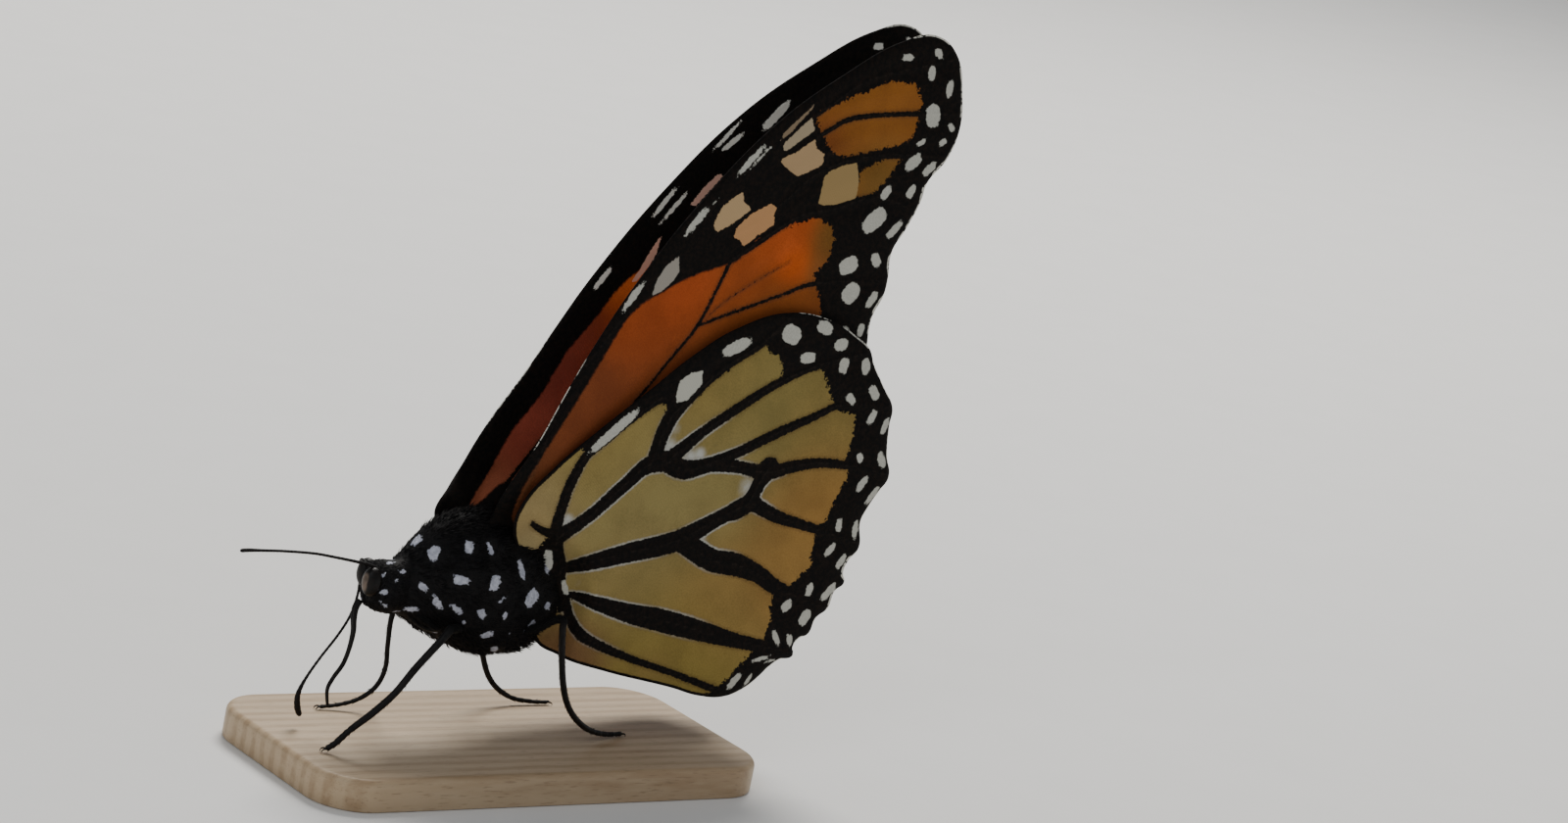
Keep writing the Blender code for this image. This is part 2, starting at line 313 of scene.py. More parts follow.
def joined(tubes):
    both = bmesh.new()
    for tube in tubes:
        mesh = meshOf(tube, "tube")
        both.from_mesh(mesh)
        bpy.data.meshes.remove(mesh)
    return both


# The two faces of a wing are one sheet; its step is the distance between its points.
sheet = {"step": 0.2, "half": 0.11, "rimHalf": 0.035, "ridge": 0.06, "ridgeWide": 0.17, "puff": 0.09,
         "lean": 0.032, "level": 18.0, "rootSlide": (0.82, -0.285), "margin": 0.004}

black, soot = (0.0045, 0.0042, 0.0040), (0.013, 0.0085, 0.0065)
# the second colour on the next line is the vein tubes' brownish grey, with a painted highlight along their
# ridges
chalk, veinTubeAndSheen = (0.50, 0.50, 0.46), (0.045, 0.034, 0.028)

hindwing = {
    "spacing": 3.95,
    "bulge": [],
    "fringe": (16.8, 18.0, 0.07),
    "fray": (-9.0, -8.0, 1.0),
    "root": {
        "line": [(-3.8, 17.3, 0), (-1.5, 16.2, 0), (-0.2, 14.5, 0), (-1.2, 11.5, 0)],
        "dip": 1.9,
        "reach": (0.9, 4.2),
    },
    "outline": [(-2.2, 16.6), (-4.0, 17.9), (-4.9, 19.7), (-4.4, 21.9), (-2.2, 24.5), (1.4, 27.6),
        (5.2, 30.6), (8.8, 33.5), (12.6, 35.8), (17.4, 37.2), (22.3, 36.5), (24.2, 35.6), (25.8, 34.6),
        (26.5, 33.4), (28.0, 31.5), (29.2, 29.9), (29.2, 28.6), (29.5, 26.2), (30.1, 24.3), (29.4, 23.2),
        (28.6, 21.9), (28.1, 20.7), (28.4, 18.5), (27.6, 17.5), (27.3, 16.5), (27.6, 15.7), (26.8, 15.0),
        (26.4, 13.6), (25.4, 12.8), (24.9, 11.5), (24.0, 11.1), (23.6, 10.4), (23.8, 9.8), (22.4, 9.4),
        (19.6, 7.2), (17.7, 6.5), (15.2, 6.6), (12.4, 7.3), (5.9, 8.7), (1.2, 10.0), (-1.3, 11.2),
        (-1.7, 13.8)],
    "veinEnds": [(17.4, 37.2), (22.4, 36.7), (25.8, 34.6), (29.2, 29.9), (30.1, 24.3), (28.3, 19.2),
        (27.6, 15.7), (26.3, 13.4), (24.7, 11.3), (23.8, 9.8), (17.4, 6.5)],
    "tufts": [(27.5, 16.9, 1.0, 0.26), (26.7, 14.4, 0.9, 0.22), (24.1, 10.9, 0.5, 0.14),
        (24.3, 35.6, 1.7, 0.13)],
    # x, z and half width of the dark line
    "veins": {
        "base": [(-4.0, 17.6, 0.3), (-2.4, 17.9, 0.35), (-0.9, 18.2, 0.5), (-0.2, 17.0, 0.55),
            (0.1, 15.2, 0.4), (0.5, 13.6, 0.3)],
        "humeral": [(-1.1, 19.5, 0.48), (-2.3, 19.8, 0.3), (-3.3, 20.3, 0.26)],
        "subcosta": [(-0.6, 17.8, 0.6), (-1.0, 19.6, 0.58), (-1.0, 20.8, 0.5), (-0.5, 23.3, 0.48),
            (0.4, 25.4, 0.42), (1.0, 26.0, 0.36), (2.2, 26.9, 0.32), (3.6, 28.1, 0.31), (5.3, 29.4, 0.32),
            (6.6, 30.3, 0.4)],
        "radius": [(-0.9, 18.6, 0.66), (-0.7, 19.3, 0.62), (1.8, 21.0, 0.54), (4.8, 23.7, 0.6),
            (6.2, 24.9, 0.68), (7.8, 25.3, 0.8)],
        "sector": [(6.7, 25.3, 0.6), (7.6, 28.5, 0.7), (9.3, 30.3, 0.4), (11.9, 32.7, 0.36),
            (15.2, 34.8, 0.36), (17.4, 36.9, 0.3)],
        "mediaOne": [(8.3, 25.5, 0.7), (11.0, 27.7, 0.46), (13.9, 29.6, 0.44), (17.2, 31.6, 0.38),
            (21.0, 33.2, 0.32), (26.0, 34.4, 0.3)],
        "cellTop": [(7.8, 25.4, 0.8), (9.9, 24.7, 0.78), (12.4, 25.1, 0.58), (14.9, 25.0, 0.5)],
        "mediaTwo": [(10.5, 24.7, 0.62), (14.1, 25.9, 0.46), (18.1, 27.7, 0.44), (21.7, 29.2, 0.34),
            (24.0, 30.1, 0.3), (29.0, 30.1, 0.3)],
        "mediaThree": [(14.9, 25.0, 0.48), (17.9, 24.6, 0.58), (20.3, 25.1, 0.5), (22.7, 25.4, 0.42),
            (26.1, 25.2, 0.34), (30.0, 24.5, 0.3)],
        "cellEnd": [(17.9, 24.9, 0.95), (17.2, 23.6, 0.66), (16.6, 22.2, 0.78), (15.4, 21.5, 0.8)],
        "cubitusOne": [(16.8, 22.2, 0.62), (19.5, 21.1, 0.52), (21.9, 20.5, 0.42), (24.4, 19.9, 0.36),
            (28.3, 18.9, 0.3)],
        "cubitus": [(-0.1, 16.8, 0.4), (2.3, 17.3, 0.62), (5.8, 18.1, 0.78), (9.3, 18.8, 0.86),
            (11.1, 19.4, 0.85), (13.8, 20.8, 0.66), (16.8, 22.2, 0.66)],
        "cubitusTwo": [(11.2, 18.9, 0.9), (13.9, 17.6, 0.9), (16.4, 17.2, 0.92), (18.8, 16.4, 0.7),
            (21.1, 15.2, 0.6), (26.4, 13.5, 0.4)],
        "analTwo": [(0.9, 14.8, 0.22), (2.9, 14.4, 0.46), (6.8, 13.4, 0.74), (10.0, 12.8, 0.9),
            (14.0, 11.9, 0.82), (18.0, 11.0, 0.58), (21.3, 10.4, 0.5), (23.7, 9.9, 0.42)],
        "analThree": [(0.6, 14.5, 0.36), (1.7, 12.7, 0.46), (3.4, 11.4, 0.42), (7.4, 9.9, 0.3),
            (12.2, 8.5, 0.26), (17.2, 6.9, 0.3)],
    },
    # light ground inside these areas, dark outside
    "areas": [
        [(-6.5, 19.6), (-6.5, 22.5), (-3.0, 26.5), (-0.5, 26.5), (0.2, 25.9), (1.0, 26.0), (2.2, 26.9),
         (3.6, 28.1), (5.3, 29.4), (6.4, 29.9), (6.9, 29.8), (7.2, 29.2), (7.6, 28.7), (7.9, 28.3),
         (8.9, 29.5), (10.4, 31.1), (12.0, 32.4), (13.6, 33.5), (14.8, 34.4), (15.6, 34.6), (16.0, 34.0),
         (16.8, 33.9), (17.2, 33.4), (17.5, 32.6), (17.7, 31.9), (19.5, 32.6), (21.2, 32.9), (21.6, 32.5),
         (22.2, 31.5), (22.7, 30.8), (23.2, 30.2), (22.9, 29.8), (24.1, 29.5), (25.5, 29.4), (25.5, 28.6),
         (25.6, 27.7), (25.5, 26.7), (25.3, 25.8), (25.1, 25.3), (25.8, 24.8), (25.8, 24.3), (25.3, 23.3),
         (24.9, 22.4), (24.6, 21.1), (24.2, 20.4), (23.4, 20.1), (23.7, 19.6), (23.7, 18.9), (23.5, 17.9),
         (23.9, 17.2), (23.0, 16.5), (22.4, 15.8), (21.9, 15.5), (20.7, 15.4), (20.6, 15.0), (20.6, 14.4),
         (20.5, 13.6), (20.8, 12.8), (20.6, 12.0), (20.5, 11.1), (20.0, 10.6), (19.6, 10.1), (18.5, 9.2),
         (17.8, 8.2), (17.2, 7.6), (16.6, 7.0), (12.0, 5.5), (0.0, 8.0), (-3.0, 9.0), (-1.0, 12.5),
         (0.3, 13.5), (0.0, 16.5), (-0.9, 18.6), (-1.4, 19.5), (-2.0, 19.2), (-2.3, 18.7), (-2.6, 18.4),
         (-3.2, 18.2), (-4.0, 18.4), (-4.6, 18.8), (-5.2, 19.4)],
    ],
    # both ends (x, z) of each white spot and its half width
    "spots": [(4.6, 29.3, 0.8, 25.9, 0.42), (11.5, 33.8, 14.0, 35.0, 0.54), (18.6, 35.2, 16.9, 35.9, 0.74),
        (21.7, 36.0, 20.1, 36.4, 0.52), (23.5, 35.0, 22.1, 34.8, 0.52), (20.5, 33.8, 19.0, 33.7, 0.47),
        (23.4, 32.6, 23.5, 33.9, 0.48), (25.5, 33.9, 25.8, 32.6, 0.45), (26.5, 31.7, 27.5, 30.6, 0.42),
        (24.3, 31.0, 25.2, 30.2, 0.33), (27.5, 29.8, 26.9, 28.6, 0.35), (28.9, 29.2, 28.5, 27.8, 0.33),
        (26.5, 26.3, 27.0, 25.5, 0.32), (29.4, 25.1, 28.6, 26.4, 0.37), (27.0, 23.2, 27.9, 24.4, 0.35),
        (29.3, 23.6, 28.2, 22.1, 0.3), (25.8, 21.0, 26.0, 19.8, 0.31), (27.7, 19.3, 27.6, 20.8, 0.31),
        (25.9, 18.9, 25.0, 17.9, 0.31), (26.4, 16.9, 27.2, 18.0, 0.34), (24.1, 14.6, 24.2, 15.7, 0.37),
        (25.5, 14.2, 26.7, 15.7, 0.38), (22.6, 14.2, 21.7, 13.5, 0.42), (23.8, 12.3, 24.6, 13.5, 0.5),
        (22.2, 10.5, 21.2, 11.9, 0.26), (22.8, 11.6, 23.4, 10.5, 0.3), (19.6, 9.3, 21.5, 9.8, 0.18),
        (22.4, 9.5, 20.9, 9.2, 0.14), (18.8, 8.4, 17.8, 7.1, 0.33), (20.0, 8.3, 19.4, 7.3, 0.22),
        (-1.3, 16.6, -1.6, 18.3, 0.46), (0.8, 14.7, 0.2, 15.9, 0.29)],
    # corners and tone
    "patches": [
        ([(7.8, 30.6), (7.9, 31.6), (8.9, 32.3), (9.9, 32.5), (10.1, 31.4), (8.9, 30.1),
          (8.0, 29.9)], (0.52, 0.51, 0.44)),
    ],
    # x, z, reach and tone
    "tones": [(-3.4, 18.7, 1.2, (0.42, 0.33, 0.16)), (-3.1, 20.6, 3.0, (0.335, 0.245, 0.105)),
        (2.8, 26.0, 4.0, (0.3, 0.222, 0.07)), (7.0, 21.1, 5.0, (0.295, 0.235, 0.088)),
        (13.9, 23.5, 4.5, (0.28, 0.22, 0.078)), (11.7, 30.9, 4.0, (0.275, 0.2, 0.061)),
        (16.8, 29.2, 4.0, (0.245, 0.19, 0.06)), (21.5, 27.5, 3.5, (0.25, 0.175, 0.052)),
        (22.3, 23.3, 3.0, (0.32, 0.17, 0.045)), (19.6, 19.0, 3.4, (0.31, 0.175, 0.048)),
        (14.0, 15.4, 3.6, (0.3, 0.19, 0.056)), (7.0, 16.0, 4.0, (0.295, 0.212, 0.073)),
        (9.8, 11.0, 4.5, (0.26, 0.188, 0.046)), (3.0, 9.6, 2.2, (0.2, 0.1, 0.045)),
        (10.0, 8.6, 1.6, (0.27, 0.18, 0.055))],
    "dorsal": {
        "tones": [(5.0, 20.0, 12.0, (0.5, 0.095, 0.01)), (22.0, 24.0, 9.0, (0.52, 0.12, 0.013)),
            (10.0, 10.0, 6.0, (0.44, 0.09, 0.012))],
    },
    "rims": [(5.0, 21.5, 6.5, 1.0), (13.0, 24.0, 4.5, 1.0), (2.0, 23.0, 3.0, 0.8), (9.0, 27.5, 3.0, 1.0),
        (12.5, 26.5, 3.0, 1.0), (13.5, 19.5, 3.8, 1.0), (5.0, 15.5, 6.0, 1.0), (12.0, 14.5, 5.0, 0.8),
        (18.0, 23.0, 2.6, 0.9), (5.5, 12.8, 4.0, 0.6)],
    # x, z, reach and strength: here a cell pales to white at its root
    "blooms": [(8.0, 26.4, 1.1, 0.75), (8.3, 27.9, 0.9, 0.5), (10.2, 25.6, 0.95, 0.8),
        (11.0, 25.9, 0.8, 0.8), (-0.2, 20.5, 0.8, 0.9), (1.7, 15.7, 0.9, 0.35), (12.6, 19.1, 0.9, 0.6),
        (16.2, 23.4, 1.3, 0.62)],
}

# Both sides of the forewing share this stretch of the light ground's rim.
innerRim = [(8.8, 39.8), (10.8, 40.4), (12.0, 40.8), (13.6, 42.6), (15.8, 43.6), (18.8, 44.5), (20.3, 44.0),
            (20.9, 42.8), (20.6, 41.4), (19.6, 40.2), (19.9, 39.3), (20.5, 38.3), (20.9, 37.0), (20.8, 34.2),
            (20.4, 31.9), (16.0, 29.4), (8.0, 25.0)]

forewing = {
    "spacing": 3.1,
    "fringe": (24.6, 25.8, 0.15),
    "fray": (12.0, 17.0, 0.25),
    "root": {
        "line": [(-7.2, 18.7, 0), (-5.0, 17.9, 0), (-3.0, 17.6, 0), (-1.0, 18.2, 0)],
        "dip": 1.75,
        "reach": (0.9, 4.5),
    },
    # x, z, reach and height: the leading edge leans out here
    "bulge": [(-3.5, 26.0, 3.6, 0.4)],
    "outline": [(-6.9, 18.6), (-6.3, 21.0), (-5.25, 23.3), (-3.53, 26.5), (-1.6, 30.2), (0.2, 33.7),
        (2.65, 38.0), (7.75, 45.2), (13.4, 51.4), (19.0, 55.6), (24.2, 58.6), (27.4, 59.3), (29.8, 57.9),
        (31.0, 55.0), (31.4, 52.2), (30.7, 49.8), (29.1, 47.7), (28.9, 46.5), (27.9, 44.1), (26.9, 42.2),
        (27.0, 40.0), (26.9, 38.8), (26.1, 36.8), (26.1, 34.0), (25.2, 31.4), (23.0, 30.6), (16.0, 27.6),
        (8.0, 23.2), (1.5, 19.4), (-1.6, 17.6), (-4.6, 17.4)],
    "veinEnds": [(20.0, 56.2), (24.2, 58.4), (29.6, 58.0), (31.4, 52.4), (29.1, 47.8), (27.0, 42.3),
        (26.9, 39.4), (26.1, 34.5)],
    "tufts": [(28.9, 47.0, 0.65, 0.3), (30.1, 48.9, 0.75, 0.24), (28.2, 44.2, 1.0, 0.18),
        (26.9, 41.3, 0.7, 0.26), (26.6, 37.9, 0.9, 0.26), (31.3, 53.6, 0.6, 0.24), (30.4, 56.5, 0.6, 0.2),
        # these three are no fringe: they paint a thin pale glint along the leading edge, a painted highlight
        (-0.6, 32.0, 0.8, 0.03), (-2.0, 29.4, 1.5, 0.05), (-3.1, 27.2, 1.5, 0.05)],
    "veins": {
        # the subcosta has no dark width: it only draws the tube line with its painted highlight
        "subcosta": [(-5.0, 18.2, 0.0), (-4.4, 21.2, 0.0), (-3.7, 23.5, 0.0), (-3.1, 26.3, 0.0),
            (-1.7, 29.8, 0.0), (-0.2, 32.4, 0.0), (2.4, 36.2, 0.0)],
        "cubitus": [(-3.0, 18.5, 0.3), (-0.6, 22.4, 0.17), (2.0, 26.3, 0.13), (4.4, 29.2, 0.12),
            (7.0, 32.6, 0.12), (9.3, 35.7, 0.14), (10.6, 38.8, 0.15), (11.4, 40.9, 0.2)],
        "cubitusTwo": [(9.3, 35.7, 0.13), (14.0, 37.4, 0.13), (16.9, 38.4, 0.14), (19.9, 39.4, 0.2),
            (26.7, 39.9, 0.3)],
        "cubitusOne": [(11.4, 40.9, 0.22), (13.0, 41.9, 0.26), (14.6, 43.0, 0.28), (17.2, 44.6, 0.3),
            (20.4, 45.3, 0.32), (24.3, 46.4, 0.3), (28.4, 45.6, 0.3)],
        "mediaThree": [(11.2, 42.8, 0.3), (12.8, 43.6, 0.12), (15.3, 45.5, 0.3), (18.6, 48.2, 0.3),
            (23.2, 49.6, 0.3), (30.3, 50.0, 0.3)],
        "mediaTwo": [(15.2, 49.1, 0.14), (17.0, 50.4, 0.16), (18.6, 51.4, 0.2), (20.6, 52.4, 0.22),
            (25.0, 53.0, 0.2), (31.0, 53.4, 0.3)],
        "mediaOne": [(16.0, 51.6, 0.2), (18.4, 53.4, 0.18), (22.0, 55.6, 0.2), (29.6, 57.6, 0.3)],
        "anal": [(-4.2, 17.8, 0.3), (2.0, 21.0, 0.2), (9.0, 25.0, 0.16), (17.0, 29.4, 0.16),
            (25.8, 32.6, 0.3)],
        "fold": [(9.3, 35.7, 0.0), (11.4, 37.6, 0.035), (14.5, 39.6, 0.035), (17.0, 41.0, 0.0)],
    },
    "areas": [
        [(-4.8, 20.6), (-4.2, 22.9), (-3.7, 24.3), (-2.9, 25.8), (-2.0, 27.3), (-1.1, 28.8), (-0.2, 30.3),
         (0.6, 31.9), (1.4, 33.4), (2.1, 34.9), (2.8, 36.1), (3.8, 37.2), (5.4, 38.1), (7.1, 39.1),
         *innerRim, (1.5, 21.2), (-1.6, 19.4), (-3.8, 18.9)],
        [(16.9, 52.4), (17.6, 51.3), (18.3, 50.6), (18.6, 50.1), (19.6, 49.6), (20.4, 49.4), (22.0, 49.7),
         (23.9, 50.2), (25.7, 50.7), (26.6, 51.2), (26.9, 52.0), (27.0, 52.8), (27.1, 54.2), (26.0, 55.4),
         (23.6, 55.5), (20.4, 54.1)],
        [(22.2, 48.3), (24.5, 49.5), (25.7, 49.7), (26.0, 49.4), (25.3, 48.7), (24.9, 47.8), (24.0, 46.8),
         (23.2, 46.3), (22.2, 46.5)],
    ],
    "spots": [(28.7, 52.2, 28.1, 54.0, 0.7), (27.6, 55.8, 27.4, 57.0, 0.38), (30.8, 52.0, 30.1, 52.6, 0.27),
        (29.6, 54.6, 29.5, 56.0, 0.36), (28.3, 57.6, 27.4, 58.3, 0.3), (25.4, 57.5, 24.3, 57.4, 0.3),
        (27.3, 50.7, 28.1, 51.2, 0.23), (30.2, 51.3, 29.5, 50.9, 0.31), (28.0, 49.9, 26.6, 48.8, 0.5),
        (28.4, 48.4, 29.6, 49.4, 0.37), (25.5, 47.4, 24.8, 46.3, 0.4), (27.8, 47.6, 27.4, 46.5, 0.4),
        (23.5, 43.8, 25.4, 45.4, 0.74), (26.0, 43.3, 27.3, 44.7, 0.38), (23.6, 41.3, 21.9, 40.6, 0.72),
        (24.9, 42.0, 25.8, 41.0, 0.42), (22.9, 38.1, 24.1, 39.5, 0.76), (25.3, 37.7, 26.1, 39.0, 0.38),
        (25.1, 35.3, 25.2, 36.5, 0.34), (23.4, 34.4, 23.5, 36.2, 0.6), (23.8, 32.2, 24.2, 33.5, 0.45),
        (6.6, 42.5, 8.3, 44.9, 0.24), (7.2, 42.9, 8.8, 45.1, 0.1), (10.5, 47.3, 12.6, 49.8, 0.25),
        (11.5, 47.8, 13.3, 49.9, 0.11), (2.2, 36.6, 3.7, 38.9, 0.28)],
    "patches": [
        ([(4.5, 37.8), (4.8, 39.2), (5.5, 40.3), (6.4, 41.0), (6.7, 39.8), (6.2, 39.0),
          (5.3, 38.2)], (0.35, 0.32, 0.275)),
        ([(9.1, 43.3), (9.3, 44.3), (9.7, 45.0), (10.4, 45.6), (11.3, 46.2), (11.6, 45.4), (12.4, 44.9),
          (11.6, 44.2), (10.6, 43.5), (9.6, 43.0)], (0.5, 0.34, 0.18)),
        ([(11.2, 42.8), (11.5, 43.5), (12.5, 44.5), (14.2, 45.4), (14.8, 45.1), (14.7, 44.5), (14.9, 43.8),
          (13.5, 42.9), (12.8, 42.3), (12.3, 42.0), (11.9, 42.4), (11.4, 42.6)], (0.54, 0.29, 0.13)),
        ([(14.5, 49.5), (14.3, 50.0), (14.8, 50.5), (16.6, 52.2), (16.8, 51.9), (17.1, 51.2), (15.7, 50.2),
          (14.8, 49.5)], (0.4, 0.32, 0.21)),
        ([(14.4, 48.6), (14.5, 48.9), (15.6, 49.4), (17.3, 50.6), (17.6, 49.9), (18.4, 49.5), (18.5, 48.9),
          (18.3, 48.5), (16.7, 47.8), (16.1, 47.6)], (0.46, 0.31, 0.165)),
        ([(18.7, 45.6), (18.8, 47.0), (18.8, 47.6), (19.3, 48.2), (20.5, 48.7), (21.8, 49.0), (22.1, 48.0),
          (22.3, 47.1), (22.3, 46.2), (21.7, 46.0), (20.1, 45.6), (19.3, 45.5)], (0.36, 0.245, 0.105)),
        ([(14.0, 50.3), (14.2, 50.9), (15.7, 52.3), (16.6, 53.2), (16.5, 52.8),
          (14.7, 50.8)], (0.26, 0.19, 0.12)),
    ],
    "tones": [(-2.5, 22.5, 3.5, (0.15, 0.048, 0.018)), (-0.5, 26.0, 3.0, (0.19, 0.05, 0.016)),
        (1.5, 29.0, 3.4, (0.215, 0.056, 0.018)), (4.6, 35.0, 3.0, (0.34, 0.066, 0.016)),
        (8.0, 38.3, 2.6, (0.41, 0.075, 0.017)), (5.5, 30.5, 3.2, (0.215, 0.056, 0.017)),
        (16.0, 42.6, 2.4, (0.49, 0.092, 0.018)), (12.6, 39.6, 2.4, (0.37, 0.075, 0.017)),
        # the first tone below, bright orange at x 17.4, z 41.0, is a painted patch of sunlight
        (17.4, 41.0, 1.3, (0.6, 0.1, 0.01)), (20.2, 42.6, 1.5, (0.17, 0.08, 0.016)),
        (20.0, 40.8, 1.2, (0.27, 0.095, 0.022)), (16.0, 35.5, 4.5, (0.24, 0.066, 0.013)),
        (11.0, 31.5, 4.0, (0.21, 0.056, 0.016)), (22.0, 52.5, 4.5, (0.29, 0.105, 0.019)),
        (24.0, 48.4, 2.0, (0.16, 0.09, 0.021)), (18.5, 50.6, 1.6, (0.17, 0.045, 0.012))],
    "rims": [],
    "blooms": [],
    "dorsal": {
        "areas": [
            [(-4.3, 19.0), (-3.8, 20.6), (-2.9, 22.4), (-2.2, 24.0), (-1.5, 25.5), (-0.5, 27.1), (0.4, 28.7),
             (1.0, 30.3), (1.8, 32.0), (2.9, 33.5), (3.9, 34.9), (4.9, 36.6), (6.0, 37.9), (7.4, 38.9),
             *innerRim, (1.5, 22.2), (-1.9, 21.3), (-3.3, 19.8), (-3.9, 19.0)],
        ],
        # along the leading edge these run from dark red near the root, painted shade between the two wings,
        # to bright orange at x 6.4, z 38.0, painted sunlight shining through the wing; the last two are the
        # plain orange ground
        "tones": [(-3.0, 21.0, 2.5, (0.36, 0.105, 0.05)), (-0.5, 26.0, 3.0, (0.4, 0.085, 0.05)),
            (1.5, 30.0, 3.0, (0.3, 0.06, 0.04)), (3.3, 33.6, 2.4, (0.28, 0.055, 0.035)),
            (6.4, 38.0, 2.2, (0.95, 0.22, 0.05)), (12.0, 36.0, 7.0, (0.62, 0.13, 0.014)),
            (18.0, 40.0, 6.0, (0.6, 0.14, 0.014))],
        # the wing's own paler streaks, painted brighter as if sunlit
        "patches": [
            ([(6.3, 37.6), (7.0, 39.1), (7.9, 41.1), (8.2, 41.3), (8.0, 39.8), (7.3, 38.4),
              (6.7, 37.6)], (0.94, 0.54, 0.4)),
            ([(10.2, 43.9), (11.1, 45.3), (12.3, 46.5), (12.7, 46.3), (11.7, 45.0),
              (10.7, 43.8)], (0.92, 0.55, 0.42)),
            ([(12.8, 43.1), (13.2, 44.0), (14.8, 45.3), (15.2, 44.6), (14.6, 43.6)], (0.62, 0.25, 0.1)),
            ([(15.4, 48.7), (16.2, 49.7), (18.0, 50.5), (18.6, 49.4), (17.4, 48.2)], (0.62, 0.3, 0.15)),
            ([(19.0, 47.7), (19.5, 48.4), (21.8, 48.8), (22.3, 48.0), (22.2, 46.5),
              (20.1, 45.9)], (0.62, 0.3, 0.14)),
        ],
        "spots": [(2.9, 36.8, 4.1, 38.6, 0.26), (6.9, 42.7, 8.6, 45.3, 0.24), (7.8, 42.3, 9.7, 44.9, 0.21),
            (11.2, 48.2, 13.2, 50.7, 0.2), (12.1, 48.3, 13.8, 49.8, 0.27), (15.5, 50.2, 17.4, 52.6, 0.42),
            (28.5, 52.3, 28.2, 54.3, 0.5), (27.6, 56.0, 27.3, 57.1, 0.4), (29.6, 54.6, 29.5, 56.0, 0.36),
            (28.3, 57.6, 27.4, 58.3, 0.3), (25.4, 57.5, 24.3, 57.4, 0.3), (26.8, 48.8, 27.7, 50.0, 0.36),
            (28.5, 48.5, 29.4, 49.4, 0.32), (24.8, 46.4, 25.3, 47.4, 0.3), (27.5, 46.6, 27.6, 47.6, 0.3),
            (23.9, 44.0, 25.0, 45.3, 0.5), (26.1, 43.3, 27.2, 44.7, 0.3), (22.0, 40.8, 23.2, 41.2, 0.5),
            (25.0, 42.1, 25.6, 40.9, 0.34), (23.0, 38.3, 23.8, 39.5, 0.5), (25.3, 37.8, 26.0, 39.0, 0.32),
            (25.1, 35.3, 25.2, 36.3, 0.27), (23.3, 34.8, 23.5, 36.0, 0.42), (23.6, 32.2, 24.0, 33.2, 0.3)],
    },
}


def fineOutline(corners):  # the same smooth closed curve as the solid's, in short steps
    curve = bpy.data.curves.new("outline", "CURVE")
    curve.dimensions = "2D"
    curve.fill_mode = "NONE"
    curve.resolution_u = curve.render_resolution_u = 36
    spline = curve.splines.new("BEZIER")
    spline.bezier_points.add(len(corners) - 1)
    for knot, (x, z) in zip(spline.bezier_points, corners):
        knot.co = (x, z, 0.0)
        knot.handle_left_type = knot.handle_right_type = "AUTO"
    spline.use_cyclic_u = True
    carrier = bpy.data.objects.new("outline", curve)
    scene.collection.objects.link(carrier)
    bpy.context.view_layer.update()
    line = bpy.data.meshes.new_from_object(carrier.evaluated_get(bpy.context.evaluated_depsgraph_get()))
    rim = np.array([vert.co[:2] for vert in line.vertices])
    bpy.data.objects.remove(carrier, do_unlink=True)
    bpy.data.curves.remove(curve)
    bpy.data.meshes.remove(line)
    return rim


def cutSheet(rim):  # a fine grid trimmed to the outline; its rim is drawn onto the line
    step = sheet["step"]
    low, high = rim.min(0) - step, rim.max(0) + step
    cells = np.ceil((high - low) / step).astype(int)
    work = bmesh.new()
    bmesh.ops.create_grid(work, x_segments=int(cells[0]), y_segments=int(cells[1]), size=0.5)
    flat = low + (np.array([vert.co[:2] for vert in work.verts]) + 0.5) * cells * step
    finder = KDTree(len(rim))
    for index, (x, z) in enumerate(rim):
        finder.insert((x, z, 0.0), index)
    finder.balance()
    outer = []
    for vert, (x, z), within in zip(work.verts, flat, insideOf(flat, rim)):
        vert.co = (x, z, 0.0)
        if not within and finder.find(vert.co)[2] > 0.3 * step:
            outer.append(vert)
    bmesh.ops.delete(work, geom=outer, context="VERTS")
    bmesh.ops.delete(work, geom=[vert for vert in work.verts if not vert.link_faces], context="VERTS")
    for vert in [vert for vert in work.verts if vert.is_boundary]:
        vert.co = finder.find(vert.co)[0]
    inner = [vert for vert in work.verts if not vert.is_boundary and finder.find(vert.co)[2] < 1.5 * step]
    bmesh.ops.smooth_vert(work, verts=inner, factor=0.5, use_axis_x=True, use_axis_y=True)
    return work, np.array([finder.find(vert.co)[2] for vert in work.verts])


def wingMarks(form, points, edge):
    x = points[:, 0]
    veins = [pathField(points, smoothPath(knots, 6)) for knots in form["veins"].values()]
    patch, tone = np.full(len(points), farAway), np.full((len(points), 3), 0.5)
    for corners, colour in form["patches"]:
        field = areaField(points, corners)
        tone[field < patch] = colour
        patch = np.minimum(patch, field)
    fromVein = np.min([awayFrom(points, *end) for end in form["veinEnds"]], axis=0)
    *span, wide = form["fringe"]
    fringe = ramp(fromVein, 0.75, 1.15) * ramp(x, *span) * wide
    # tufts are the pale fringe, and on the forewing's leading edge also a painted highlight
    for tuftX, tuftZ, reach, wide in form["tufts"]:
        away = awayFrom(points, tuftX, tuftZ)
        fringe = np.maximum(fringe, wide * (1.0 - ramp(away, reach - 0.15, reach + 0.15)))
    *span, least = form["fray"]
    return {"vein": np.min([dark for dark, near in veins], axis=0),
            "near": np.min([near for dark, near in veins], axis=0),
            "band": -np.min([areaField(points, area) for area in form["areas"]], axis=0),
            "patch": patch, "spot": spotField(points, form["spots"]), "edge": edge,
            "rims": glowField(points, form["rims"]), "bloom": glowField(points, form["blooms"]),
            "fringe": fringe, "fray": least + (1.0 - least) * ramp(x, *span),
            "ground": blendTones(points, form["tones"]), "patchTone": tone}


